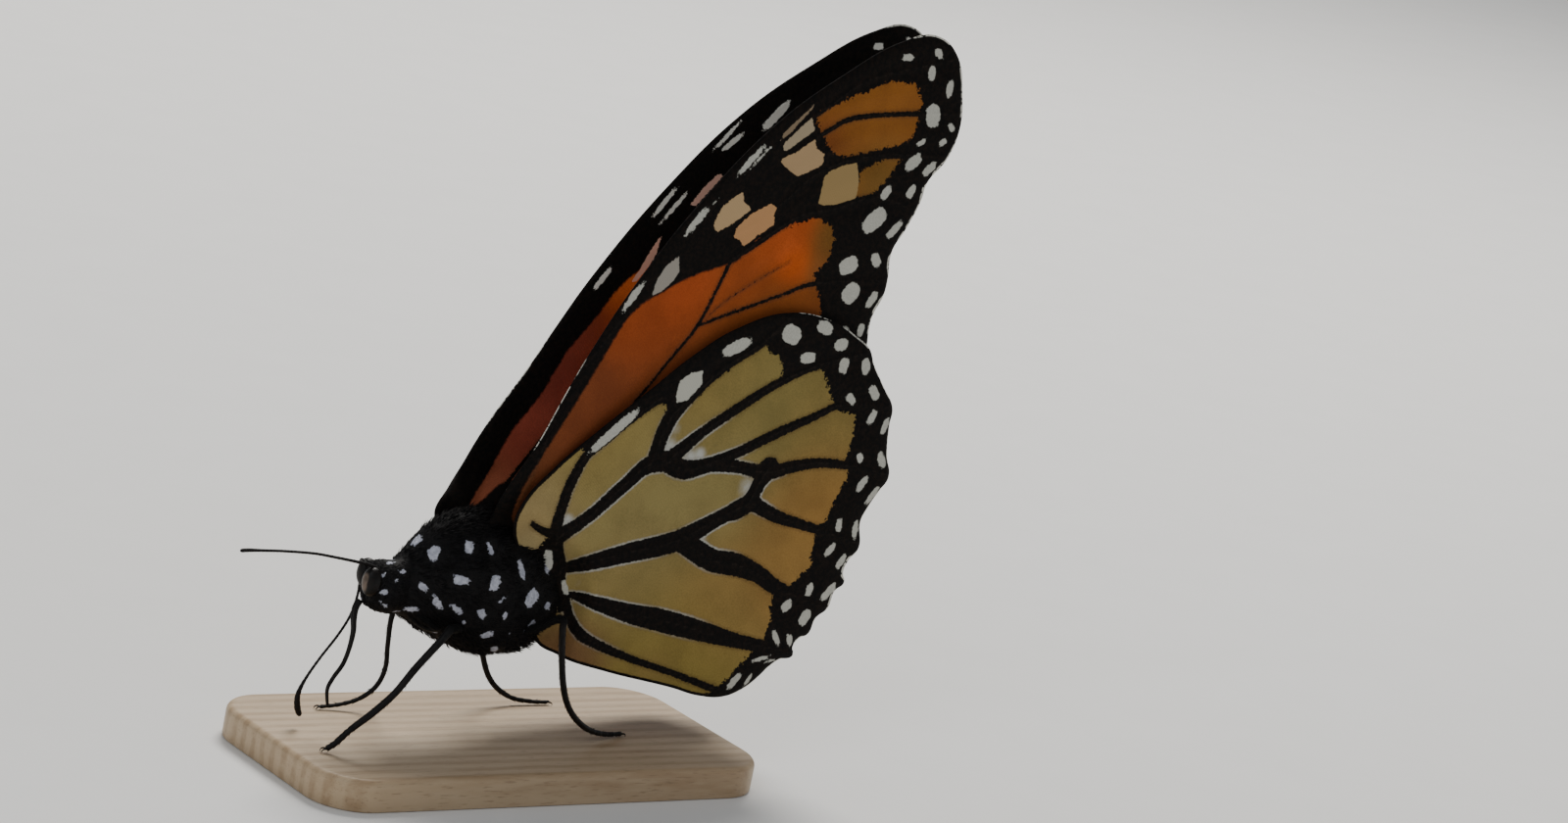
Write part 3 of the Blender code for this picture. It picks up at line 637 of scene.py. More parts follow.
def makeWing(kind, form, look):
    rim = fineOutline(form["outline"])
    work, edge = cutSheet(rim)
    points = np.array([vert.co[:2] for vert in work.verts])
    upper = {**form, **form["dorsal"], "rims": [], "blooms": []}
    outerMarks, innerMarks = (wingMarks(side, points, edge) for side in (form, upper))
    work.verts.index_update()
    layer = work.verts.layers.int.new("origin")
    for vert in work.verts:
        vert[layer] = vert.index
    doubled = bmesh.ops.extrude_face_region(work, geom=work.faces[:])["geom"]
    work.verts.index_update()
    origin = np.array([vert[layer] for vert in work.verts])
    inner = np.zeros(len(origin), bool)
    inner[[part.index for part in doubled if isinstance(part, bmesh.types.BMVert)]] = True
    work.verts.layers.int.remove(layer)
    flat = points[origin]
    marks = {"inner": inner.astype(float)}
    for name, values in outerMarks.items():
        choose = inner[:, None] if values.ndim > 1 else inner
        marks[name] = np.where(choose, innerMarks[name][origin], values[origin])
    edge, near = marks["edge"], marks["near"]
    half = sheet["rimHalf"] + (sheet["half"] - sheet["rimHalf"]) * ramp(edge, 0.0, 0.5)
    half += sheet["ridge"] * np.exp(-(near / sheet["ridgeWide"]) ** 2) * ramp(edge, 0.0, 0.4)
    puff = sheet["puff"] * ramp(near, 0.2, 1.8) * ramp(edge, 0.0, 1.5)
    across = form["spacing"] - sheet["lean"] * (flat[:, 1] - sheet["level"]) + puff
    across += np.where(inner, -half, half)
    root = form["root"]  # the sheet dips in to the body here
    fromRoot = pathField(flat, smoothPath(root["line"], 4))[1]
    dip = root["dip"] * (1.0 - ramp(fromRoot, *root["reach"]))
    across += glowField(flat, form["bulge"]) - dip
    slide = np.outer(dip, sheet["rootSlide"])
    low, high = rim.min(0), rim.max(0)
    margin = sheet["margin"]
    for side, sign in (("left", -1.0), ("right", 1.0)):
        node = kind + "_" + side
        copy = work.copy()
        for vert, (x, z), y in zip(copy.verts, flat - sign * slide, across):
            vert.co = Vector((x, sign * y, z)) * mm
        bmesh.ops.recalc_face_normals(copy, faces=copy.faces)
        mesh = meshOf(copy, node + "_scaled")
        for name, values in marks.items():
            setMark(mesh, name, values)
        corner = readOut(mesh.loops, "vertex_index")
        isInner = np.minimum.reduceat(inner[corner].astype(int), readOut(mesh.polygons, "loop_start"))
        shift = np.repeat(isInner, readOut(mesh.polygons, "loop_total")) * 0.5  # the other half of the map
        unit = (flat[corner] - low) / (high - low)
        unwrap(mesh, np.column_stack([margin + unit[:, 0] * (0.5 - 2 * margin) + shift,
                                      margin + unit[:, 1] * (1.0 - 2 * margin)]))
        settle(mesh, look, kind, node)
    work.free()
    print(kind, "sheets:", len(origin), "points each")


def wingLook():
    look = Look("wing_scales")
    place = look.place()
    scales, ragged = look.speckle(place, 9.0), look.speckle(place, 3.2, 3.0, 0.65)
    broad = look.speckle(place, 0.35, 3.0)
    fine, rough = scales - 0.5, ragged - 0.5
    inner, fray = look.mark("inner"), look.mark("fray")
    outer = 1.0 - inner
    vein = look.mark("vein") + fine * 0.26 + rough * 0.20
    band = look.mark("band") + (rough * 1.25 + fine * 0.3) * fray
    edge = look.mark("edge") + fine * 0.12
    spot = look.mark("spot") + fine * 0.14 + rough * 0.34 + 0.02
    patch = look.mark("patch") + fine * 0.18 + rough * 0.30
    shade = look.ease(broad, 0.3, 0.7, 0.88, 1.06) * look.ease(scales, 0.3, 0.7, 0.90, 1.07)
    grey = look.node("CombineColor", None, {0: shade, 1: shade, 2: shade})
    colour = look.mix(1.0, look.mark("ground", 0), grey, "MULTIPLY")
    bloom = look.mark("bloom") * outer * look.ease(ragged, 0.25, 0.7, 0.88, 1.0)
    colour = look.mix(look.ease(bloom, 0.25, 0.8), colour, chalk)
    rimLine = (1.0 - look.ease(vein, 0.03, 0.22)) * look.ease(look.mark("rims") + rough * 0.5, 0.3, 0.95)
    colour = look.mix(rimLine * outer * 0.8, colour, chalk)
    dusk = 1.0 - look.ease(vein, 0.02, 0.3)
    colour = look.mix(dusk * (1.0 - rimLine) * 0.35, colour, (0.07, 0.035, 0.015))
    darkness = look.maths("MAXIMUM", look.within(vein, 0.035), look.within(band / (0.16 - fray * 0.125), 1.0))
    darkness = look.maths("MAXIMUM", darkness, 1.0 - look.ease(edge, 0.2, 0.28))
    ink = look.mix(look.ease(ragged, 0.35, 0.75), black, soot)
    # a thin line along each vein's middle: the vein tube's own brownish grey with a painted highlight along
    # its ridge
    tube = (1.0 - look.ease(look.mark("near") + fine * 0.08, 0.03, 0.11)) * outer
    ink = look.mix(tube * look.ease(ragged, 0.3, 0.7) * 0.3, ink, veinTubeAndSheen)
    colour = look.mix(darkness, colour, ink)
    colour = look.mix(look.within(patch), colour, look.mark("patchTone", 0))
    white = look.mix(look.ease(scales, 0.35, 0.7), (0.46, 0.455, 0.40), (0.56, 0.55, 0.485))
    # on the inner faces the white spots are painted a brighter cream than outside: painted light, as if sun
    # shone through the wing
    white = look.mix(inner, white, (0.95, 0.93, 0.84))
    colour = look.mix(look.within(spot), colour, white)
    # pale fringe, which also draws the painted highlight along the forewing's leading edge
    fringe = look.ease(look.mark("fringe") - look.mark("edge"), 0.0, 0.04) * look.ease(ragged, 0.40, 0.5)
    colour = look.mix(fringe, colour, (0.68, 0.66, 0.58))
    rows = look.node("TexWave", {"wave_type": "BANDS", "bands_direction": "DIAGONAL"},
                     {"Vector": place, "Scale": 2.6, "Distortion": 2.5, "Detail": 2.0,
                      "Detail Scale": 3.0}, 1)
    relief = scales * 0.7 + rows * 0.3 + darkness * 0.35
    return look.wear(Base_Color=colour, Roughness=0.66 + darkness * 0.1 + fine * 0.12,
                     Normal=look.bump(relief, 0.02, 0.7), Specular_IOR_Level=0.08)


wingFinish = wingLook()
makeWing("hindwing", hindwing, wingFinish)
makeWing("forewing", forewing, wingFinish)

skin = {
    "around": 96,
    "along": 210,
    "neck": (-11.45, -12.15),
    "turn": 22.0,
    "turnAt": (-13.05, 0.0),
    "endDome": 0.45,
    "ringsFrom": 3.4,
    "ring": 2.45,
    # x, underside, top, half width, inside the solids by the depth of the coat
    "stations": [(-14.3, 13.65, 15.0, 0.45), (-14.0, 12.85, 15.75, 1.12), (-13.35, 12.4, 16.15, 1.46),
        (-12.5, 12.22, 16.25, 1.54), (-11.8, 12.2, 16.4, 1.56), (-11.3, 12.08, 16.8, 1.66),
        (-10.9, 11.92, 17.25, 1.84), (-10.45, 11.7, 17.8, 2.1), (-9.3, 11.0, 18.98, 2.6),
        (-7.2, 10.1, 19.95, 2.98), (-4.4, 9.15, 20.3, 3.18), (-1.6, 8.95, 19.4, 3.18),
        (0.75, 9.7, 17.8, 2.78), (2.0, 11.0, 16.3, 2.1), (2.6, 11.7, 15.5, 1.6), (3.3, 11.3, 15.35, 1.7),
        (4.8, 10.6, 15.15, 2.08), (8.6, 9.75, 14.42, 2.33), (13.2, 8.8, 13.2, 2.22),
        (17.6, 8.1, 11.82, 1.88), (20.5, 7.9, 10.55, 1.3), (22.2, 8.3, 9.6, 0.55)],
    # x, y, z, reach, height: shoulder covers and hips
    "lumps": [(-4.6, 2.35, 18.3, 1.3, 0.28), (-1.4, 2.7, 17.2, 1.4, 0.2), (-6.2, 2.6, 10.0, 1.2, 0.25),
        (-2.6, 2.4, 9.8, 1.2, 0.25)],
}

# both ends (x, y, z) of each white spot and its half width; the other side has its twin
bodySpots = [(-13.0, -0.46, 16.13, -12.46, -0.57, 16.2, 0.16),
    (-13.47, -1.1, 15.42, -13.85, -0.96, 15.29, 0.13), (-12.38, -1.26, 15.71, -11.95, -1.31, 15.69, 0.17),
    (-12.89, -1.45, 15.14, -12.69, -1.56, 15.02, 0.11), (-13.26, -1.52, 14.34, -13.7, -1.33, 14.06, 0.17),
    (-13.33, -1.28, 13.26, -11.7, -0.95, 12.46, 0.17), (-10.51, -1.64, 12.91, -11.24, -1.2, 12.77, 0.26),
    (-10.85, -1.82, 14.97, -10.33, -2.15, 14.62, 0.27), (-10.75, 0.05, 17.35, -10.2, 0.2, 17.98, 0.28),
    (-10.09, -1.72, 16.75, -9.66, -1.46, 17.75, 0.44), (-7.27, -2.38, 17.5, -7.3, -1.96, 18.36, 0.37),
    (-5.46, -2.57, 17.47, -5.6, -2.21, 18.36, 0.2), (-8.54, -2.7, 15.61, -7.18, -2.93, 15.48, 0.34),
    (-9.75, -2.39, 14.19, -8.91, -2.44, 13.22, 0.28), (-8.25, -2.68, 13.59, -7.16, -2.7, 12.93, 0.22),
    (-6.59, -2.58, 12.26, -6.78, -2.44, 12.02, 0.15), (-5.86, -2.95, 13.28, -5.1, -2.89, 12.64, 0.28),
    (-4.76, -2.3, 10.98, -3.87, -2.57, 11.32, 0.36), (-2.44, -2.99, 15.75, -2.92, -2.63, 17.1, 0.24),
    (-4.79, -3.0, 15.97, -5.19, -3.14, 14.79, 0.44), (-1.03, -3.02, 14.84, -1.82, -3.17, 13.62, 0.57),
    (-4.38, -3.15, 13.97, -3.9, -3.19, 14.28, 0.14), (-3.56, -3.11, 13.22, -3.48, -2.98, 12.48, 0.22),
    (-0.53, -2.89, 12.39, -1.1, -2.71, 11.55, 0.28), (0.44, -2.84, 13.15, 0.29, -2.9, 13.85, 0.24),
    (-3.15, -2.0, 10.0, -2.55, -1.35, 9.3, 0.3), (0.35, -1.6, 17.5, 0.1, -2.6, 16.0, 0.36),
    (1.9, -1.85, 15.3, 2.4, -1.75, 14.1, 0.22), (-2.5, -2.6, 11.35, -2.45, -2.6, 11.15, 0.08),
    (-8.9, -1.5, 10.9, -8.3, -1.6, 10.6, 0.2), (6.2, -2.2, 11.4, 7.0, -2.2, 11.3, 0.13),
    (8.6, -2.3, 11.0, 9.4, -2.3, 10.8, 0.13), (11.0, -2.3, 10.5, 11.8, -2.3, 10.3, 0.13),
    (13.4, -2.2, 10.0, 14.2, -2.2, 9.8, 0.12), (15.8, -2.0, 9.6, 16.5, -1.9, 9.4, 0.11),
    (18.0, -1.7, 9.2, 18.6, -1.6, 9.1, 0.1)]


def readStations(x, column):  # a smooth value between the stations
    rows = skin["stations"]
    last = len(rows) - 1
    index = 0
    while index < last - 1 and x > rows[index + 1][0]:
        index += 1
    before, start = rows[max(index - 1, 0)], rows[index]
    end, after = rows[index + 1], rows[min(index + 2, last)]
    span = end[0] - start[0]
    t = min(max((x - start[0]) / span, 0.0), 1.0)
    rise = (end[column] - before[column]) / (end[0] - before[0]) * span
    fall = (after[column] - start[column]) / (after[0] - start[0]) * span
    return ((2 * t ** 3 - 3 * t ** 2 + 1) * start[column] + (t ** 3 - 2 * t ** 2 + t) * rise
            + (3 * t ** 2 - 2 * t ** 3) * end[column] + (t ** 3 - t ** 2) * fall)


def turnHead(x, y, z):  # the face looks a little to the butterfly's right
    rear, front = skin["neck"]
    share = min(max((rear - x) / (rear - front), 0.0), 1.0)
    angle = -radians(skin["turn"]) * share * share * (3 - 2 * share)
    px, py = skin["turnAt"]
    return Vector((px + (x - px) * cos(angle) - (y - py) * sin(angle),
                   py + (x - px) * sin(angle) + (y - py) * cos(angle), z))


def bodyPlace(u, v):
    front, back = skin["stations"][0][0], skin["stations"][-1][0]
    x = front + (back - front) * v
    low, high, wide = (readStations(x, column) for column in (1, 2, 3))
    end = min(x - front, back - x) / skin["endDome"]
    cap = sqrt(max(0.0, 1.0 - (1.0 - end) ** 2)) if end < 1.0 else 1.0
    angle = tau * u + pi / 2
    side, rise = cos(angle), sin(angle)
    if 3.0 < x < 22.0:  # the abdomen's rings
        beat = ((x - skin["ringsFrom"]) / skin["ring"]) % 1.0
        cap *= 1.0 - 0.045 * max(0.0, 1.0 - abs(beat - 0.5) * 7.0) - 0.012 * beat
    slim = 1.0 - 0.14 * max(rise, 0.0) * (1.0 if -11.2 < x < 2.4 else 0.0)
    y, z = side * wide * slim * cap, (low + high) / 2 + rise * (high - low) / 2 * cap
    if x < -11.9:  # the brow is narrower
        y *= 1.0 - 0.06 * max(0.0, rise) ** 2
    for lx, ly, lz, reach, height in skin["lumps"]:
        apart = hypot(x - lx, abs(y) - ly, z - lz) / reach
        if apart < 1.0:
            y += (1 if y > 0 else -1) * height * (1 - apart * apart) ** 2
    return turnHead(x, y, z)


def layOnSkin(work):  # brings the ends of each spot down onto the skin
    finder = BVHTree.FromBMesh(work)
    for index, spot in enumerate(bodySpots):
        ends = [finder.find_nearest(Vector(end) * mm)[0] / mm for end in (spot[:3], spot[3:6])]
        bodySpots[index] = (*ends[0], *ends[1], spot[6] * 0.95)


def spotOnBody(points):  # the spots and their twins, which turn with the head
    head = points[:, 0] < -11.5
    mirrored = points * (1.0, -1.0, 1.0)
    pivot, angle = np.array(skin["turnAt"]), -2 * radians(skin["turn"])
    flat = mirrored[head][:, :2] - pivot
    mirrored[head, 0] = pivot[0] + flat[:, 0] * cos(angle) - flat[:, 1] * sin(angle)
    mirrored[head, 1] = pivot[1] + flat[:, 0] * sin(angle) + flat[:, 1] * cos(angle)
    return np.minimum(spotField(points, bodySpots), spotField(mirrored, bodySpots))


def bodyLook():
    look = Look("body_scales")
    place = look.place()
    scales, broad = look.speckle(place, 8.0), look.speckle(place, 2.6)
    cloud = look.ease(broad, 0.3, 0.7)
    dark = look.mix(cloud, (0.0035, 0.0035, 0.0040), (0.008, 0.007, 0.007))
    white = look.mix(cloud, (0.36, 0.37, 0.44), (0.58, 0.59, 0.67))
    share = look.within(look.mark("spot") + (scales - 0.5) * 0.16 + (broad - 0.5) * 0.50)
    return look.wear(Base_Color=look.mix(share, dark, white), Roughness=0.62 + (scales - 0.5) * 0.2,
                     Normal=look.bump(scales + share * 0.3, 0.05, 0.9), Specular_IOR_Level=0.12)


def coatLook():  # each tuft is paler towards its tip
    look = Look("body_coat")
    strand = look.mark("strand")
    dark = look.mix(strand, (0.003, 0.003, 0.0035), (0.014, 0.0125, 0.0125))
    white = look.mix(strand, (0.42, 0.43, 0.50), (0.62, 0.63, 0.70))
    colour = look.mix(look.ease(look.mark("spot"), 0.4, 0.6), dark, white)
    grain = look.speckle(look.place(), 20.0, 1.0)
    return look.wear(Base_Color=colour, Normal=look.bump(grain, 0.01, 0.5), Specular_IOR_Level=0.1,
                     Roughness=0.65)


def masterTuft():  # three-sided, thin, with a middle ring so that it can bow; root radius and length 1
    work = bmesh.new()
    bmesh.ops.create_cone(work, cap_ends=True, cap_tris=False, segments=3, radius1=1.0, radius2=0.0,
                          depth=1.0)
    bmesh.ops.translate(work, verts=work.verts, vec=(0.0, 0.0, 0.5))
    whole = work.verts[:] + work.edges[:] + work.faces[:]
    bmesh.ops.bisect_plane(work, geom=whole, plane_co=(0, 0, 0.5), plane_no=(0, 0, 1), dist=1e-5)
    middle = [vert for vert in work.verts if abs(vert.co.z - 0.5) < 1e-4]
    bmesh.ops.scale(work, verts=middle, vec=(1.6, 1.6, 1.0))
    bmesh.ops.remove_doubles(work, verts=work.verts, dist=1e-4)
    bmesh.ops.recalc_face_normals(work, faces=work.faces)
    work.verts.index_update()
    verts = np.array([vert.co[:] for vert in work.verts])
    faces = [[vert.index for vert in face.verts] for face in work.faces]
    work.free()
    return verts, faces


tuft = masterTuft()
dice = np.random.default_rng(11)


def growTufts(name, look, slot, bed, lie, length, radius, lift, white):
    # each tuft leaves its root at the angle lift, towards lie, and bows down to the skin
    roots, outward, spread = bed
    verts, faces = tuft
    count, size = len(roots), len(verts)
    lie = lie - outward * np.sum(lie * outward, axis=1)[:, None]
    lie /= np.maximum(np.linalg.norm(lie, axis=1), 1e-9)[:, None]
    beside = np.cross(outward, lie)
    spin = dice.uniform(0, tau, count)[:, None]
    x = verts[None, :, 0] * np.cos(spin) - verts[None, :, 1] * np.sin(spin)
    y = verts[None, :, 0] * np.sin(spin) + verts[None, :, 1] * np.cos(spin)
    t = np.repeat(verts[None, :, 2], count, axis=0)
    length, radius, lift = length[:, None], radius[:, None], lift[:, None]
    run = t * np.cos(lift) * length
    rise = (t * np.sin(lift) - 0.28 * t * t * np.sin(lift)) * length
    flatness, sink = 0.6, 0.03
    places = (roots[:, None] + lie[:, None] * run[..., None] + beside[:, None] * (x * radius)[..., None]
              + outward[:, None] * (rise + y * radius * flatness - sink)[..., None])
    offsets = (np.arange(count) * size)[:, None]
    corner = np.concatenate([np.array(face)[None] + offsets for face in faces], axis=1).ravel()
    total = np.tile([len(face) for face in faces], count)
    mesh = bpy.data.meshes.new(name)
    mesh.vertices.add(count * size)
    mesh.vertices.foreach_set("co", (places * mm).astype(np.float32).ravel())
    mesh.loops.add(len(corner))
    mesh.loops.foreach_set("vertex_index", corner)
    mesh.polygons.add(len(total))
    mesh.polygons.foreach_set("loop_start", np.concatenate([[0], np.cumsum(total)[:-1]]))
    mesh.polygons.foreach_set("loop_total", total)
    mesh.update(calc_edges=True)
    setMark(mesh, "spot", np.repeat(white, size))
    strand = np.repeat(dice.uniform(0, 1, count), size)
    setMark(mesh, "strand", strand * 0.6 + np.tile(verts[:, 2], count) * 0.4)
    patch = spread[:, None] + verts[None, :, :2] * 0.0014
    unwrap(mesh, patch.reshape(-1, 2)[corner])
    settle(mesh, look, slot)


def rootsOn(mesh, perArea):  # random roots: their places in mm, directions outwards and places on the map
    mesh.calc_loop_triangles()
    loops = readOut(mesh.loop_triangles, "loops", np.int32, 3).astype(int)
    tri = readOut(mesh.loops, "vertex_index")[loops]
    co = pointsOf(mesh)
    normals = readOut(mesh.vertices, "normal", np.float32, 3)
    spread = readOut(mesh.uv_layers["OFBake"].data, "uv", np.float32, 2)
    area = np.linalg.norm(np.cross(co[tri[:, 1]] - co[tri[:, 0]], co[tri[:, 2]] - co[tri[:, 0]]), axis=1) / 2
    weight = area * perArea(co[tri].mean(1))
    count = int(weight.sum())
    chosen = dice.choice(len(tri), count, p=weight / weight.sum())
    a, b = dice.uniform(0, 1, count), dice.uniform(0, 1, count)
    over = a + b > 1
    a[over], b[over] = 1 - a[over], 1 - b[over]
    share = np.column_stack([1 - a - b, a, b])[..., None]
    normal = (normals[tri[chosen]] * share).sum(1)
    normal /= np.linalg.norm(normal, axis=1)[:, None]
    return (co[tri[chosen]] * share).sum(1), normal, (spread[loops[chosen]] * share).sum(1)


# perArea and length give head, thorax and abdomen, which meet at the two ends along X
coat = {"ends": (-11.4, 2.4), "perArea": (46.0, 27.0, 20.0), "length": (0.34, 0.62, 0.42),
        "shoulderLength": 1.5, "whiteLength": 0.26, "least": 0.12, "whiteRadius": 0.075, "radius": 0.052,
        "whiteLift": 8.0, "shaggyLift": 28.0, "lift": 13.0}


def byRegion(x, values):
    return np.where(x < coat["ends"][0], values[0], np.where(x < coat["ends"][1], values[1], values[2]))


def makeBody(skinFinish, coatFinish):
    work = rolledGrid(skin["around"], skin["along"], bodyPlace)
    layOnSkin(work)
    mesh = settle(meshOf(work, "body_skin"), skinFinish, "body_black", "head", "thorax", "abdomen")
    setMark(mesh, "spot", spotOnBody(pointsOf(mesh)))
    print("skin:", len(mesh.polygons), "faces")
    bed = rootsOn(mesh, lambda places: byRegion(places[:, 0], coat["perArea"]))
    roots, outward = bed[:2]
    x, y, z = roots.T
    upward = outward[:, 2]
    count = len(roots)
    field = spotOnBody(roots)
    white = field < -0.02
    length = byRegion(x, coat["length"]) * dice.uniform(0.7, 1.25, count)
    shaggy = ((upward < -0.35) | (upward > 0.6)) & (byRegion(x, (0, 1, 0)) > 0)  # the back and the belly
    length[shaggy] *= dice.uniform(1.1, 1.7, shaggy.sum())
    shoulder = (x > -7.6) & (x < 0.6) & (np.abs(y) > 1.2) & (z > 16.2)
    length[shoulder] *= coat["shoulderLength"]
    least = coat["least"]  # dark tufts near a white spot are short, so that they leave it free
    length = np.minimum(length, np.where(white, coat["whiteLength"], np.maximum(least, least + 0.9 * field)))
    radius = np.where(white, coat["whiteRadius"], coat["radius"]) * dice.uniform(0.8, 1.2, count)
    darkLift = np.where(shaggy | shoulder, coat["shaggyLift"], coat["lift"])
    lift = np.radians(np.where(white, coat["whiteLift"], darkLift))
    lift *= dice.uniform(0.6, 1.4, count)
    lie = np.column_stack([np.full(count, 1.0), dice.normal(0, 0.16, count),
                           np.where(upward < 0.2, -0.35, 0.05) + dice.normal(0, 0.16, count)])
    face = x < -13.4
    lie[face] = lie[face] * (0.6, 1.0, 1.0) + (0.0, 0.0, 0.8)
    rear = x >= coat["ends"][1]
    for name, chosen in (("coat_front", ~rear), ("coat_rear", rear)):
        growTufts(name, coatFinish, "body_black", [part[chosen] for part in bed], lie[chosen],
                  length[chosen], radius[chosen], lift[chosen], white[chosen])
    print("coat:", count, "tufts")


bodyFinish, coatFinish = bodyLook(), coatLook()
makeBody(bodyFinish, coatFinish)

eye = {"facet": 16.0, "patch": (0.62, 0.34), "reflectionHalf": (0.66, 0.30)}  # the place and size of the painted tan reflection on each eye


def makeEyes():
    look = Look("eye_facets")
    place = look.place()
    cells = look.node("TexVoronoi", {"feature": "DISTANCE_TO_EDGE"}, {"Vector": place, "Scale": eye["facet"]})
    cloud = look.speckle(place, 1.6)
    tone = look.mix(look.ease(cloud, 0.35, 0.7), (0.0035, 0.003, 0.0028), (0.009, 0.006, 0.0045))
    # a painted reflection: a tan patch near the front edge of each eye, mixed into its colour
    patch = 1.0 - look.ease(look.mark("glow") + (cloud - 0.5) * 0.16, -0.06, 0.08)
    tone = look.mix(patch * look.ease(cloud, 0.3, 0.6, 0.55, 1.0), tone, (0.17, 0.125, 0.095))
    look.wear(Base_Color=tone, Roughness=0.34 + (cloud - 0.5) * 0.1, Specular_IOR_Level=0.2,
              Normal=look.bump(look.ease(cells, 0.0, 0.12), 0.006, 0.5))
    turn = -radians(skin["turn"])
    for side, sign in (("left", -1.0), ("right", 1.0)):
        node = "eye_" + side
        low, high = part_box(node)
        middle, half = (low + high) / 2, (high - low) / 2
        work = bmesh.new()
        bmesh.ops.create_icosphere(work, subdivisions=5, radius=1.0)
        for vert in work.verts:
            way = vert.co.copy()
            vert.co = middle + Vector([way[i] * half[i] for i in range(3)]) * (1.0 - 0.03 * abs(way.z) ** 6)
        mesh = settle(meshOf(work, node + "_facets"), look.material, "eye", node)
        # where the painted reflection lies: back from the eye's middle and out to its side
        back, out = eye["patch"]
        tall, wide = eye["reflectionHalf"]
        x = middle.x / mm - cos(turn) * back - sin(turn) * sign * out
        y = middle.y / mm - sin(turn) * back + cos(turn) * sign * out
        z = middle.z / mm
        spot = (x - 0.02, y, z - tall, x + 0.04, y, z + tall, wide)
        setMark(mesh, "glow", spotField(pointsOf(mesh), [spot]))


makeEyes()
print("eyes made")

legs = {
    # x, y, z and radius; knee and foot count the knots
    "midleg_left": {
        "knee": 2,
        "foot": 7,
        "claws": True,
        "knots": [(-6.4, -1.7, 11.3, 0.32), (-7.7, -3.2, 11.9, 0.35), (-8.8, -4.0, 12.1, 0.33),
            (-9.55, -4.2, 11.4, 0.29), (-11.4, -4.2, 9.2, 0.28), (-12.75, -4.15, 7.3, 0.27),
            (-14.25, -4.0, 5.75, 0.27), (-15.8, -3.75, 4.35, 0.25), (-16.75, -3.6, 3.3, 0.25),
            (-17.4, -3.45, 2.78, 0.22)],
    },
    "midleg_right": {
        "knee": 2,
        "foot": 7,
        "claws": True,
        "knots": [(-6.0, 1.7, 11.3, 0.3), (-7.2, 3.3, 11.5, 0.3), (-8.2, 4.2, 11.2, 0.25),
            (-8.4, 4.4, 10.0, 0.21), (-8.2, 4.5, 7.9, 0.19), (-8.0, 4.55, 6.1, 0.19), (-8.4, 4.7, 4.6, 0.19),
            (-9.5, 5.0, 3.5, 0.18), (-11.0, 5.3, 2.95, 0.17), (-12.6, 5.5, 2.72, 0.15)],
    },
    "hindleg_left": {
        "knee": 3,
        "foot": 9,
        "claws": True,
        "knots": [(-1.1, -1.9, 11.2, 0.32), (-0.6, -3.3, 11.9, 0.34), (0.0, -4.4, 12.9, 0.31),
            (0.45, -5.0, 13.1, 0.28), (0.6, -5.0, 12.2, 0.26), (1.15, -4.85, 10.0, 0.25),
            (1.85, -4.7, 7.9, 0.25), (2.8, -4.35, 6.25, 0.24), (4.25, -3.85, 4.8, 0.24),
            (6.1, -3.25, 3.65, 0.23), (8.15, -2.6, 2.98, 0.21), (10.2, -2.1, 2.75, 0.17)],
    },
    "hindleg_right": {
        "knee": 3,
        "foot": 7,
        "claws": True,
        "knots": [(-1.4, 1.9, 11.0, 0.32), (-1.0, 3.5, 11.5, 0.33), (-0.5, 4.7, 12.0, 0.29),
            (-0.1, 5.4, 11.8, 0.26), (0.4, 5.5, 10.3, 0.24), (1.4, 5.6, 6.8, 0.23), (2.7, 5.6, 4.5, 0.22),
            (4.6, 5.5, 3.2, 0.2), (6.6, 5.4, 2.8, 0.18), (8.2, 5.3, 2.72, 0.15)],
    },
    "foreleg": {
        "knee": 2,
        "foot": 4,
        "claws": False,
        "knots": [(-10.2, -0.8, 12.8, 0.24), (-9.9, -1.55, 12.25, 0.26), (-8.8, -1.85, 11.6, 0.23),
            (-8.3, -1.55, 11.25, 0.2), (-9.3, -1.15, 11.35, 0.18), (-10.5, -0.85, 12.0, 0.12)],
    },
}


def limbLook():
    look = Look("limb_shell")
    place = look.place()
    fine, broad = look.speckle(place, 14.0), look.speckle(place, 1.5)
    colour = look.mix(look.ease(broad, 0.3, 0.7), (0.0045, 0.0042, 0.0042), (0.009, 0.0075, 0.007))
    colour = look.mix((fine - 0.4) * 0.3, colour, (0.02, 0.016, 0.014))
    # the upper leg next to the body is painted darker, painted shade, and made rougher
    thigh = look.mark("thigh")
    colour = look.mix(thigh, colour, (0.002, 0.002, 0.002))
    return look.wear(Base_Color=colour, Roughness=0.5 + thigh * 0.35 + (fine - 0.5) * 0.2,
                     Normal=look.bump(fine, 0.03, 0.8), Specular_IOR_Level=0.18)


# a few spines, the thigh's shaggy hairs and the rest
hair = {"perArea": 34.0, "spineShare": 0.16, "length": (0.36, 0.44, 0.15), "lift": (32.0, 22.0, 14.0),
        "spineRadius": 0.03, "radius": 0.026}


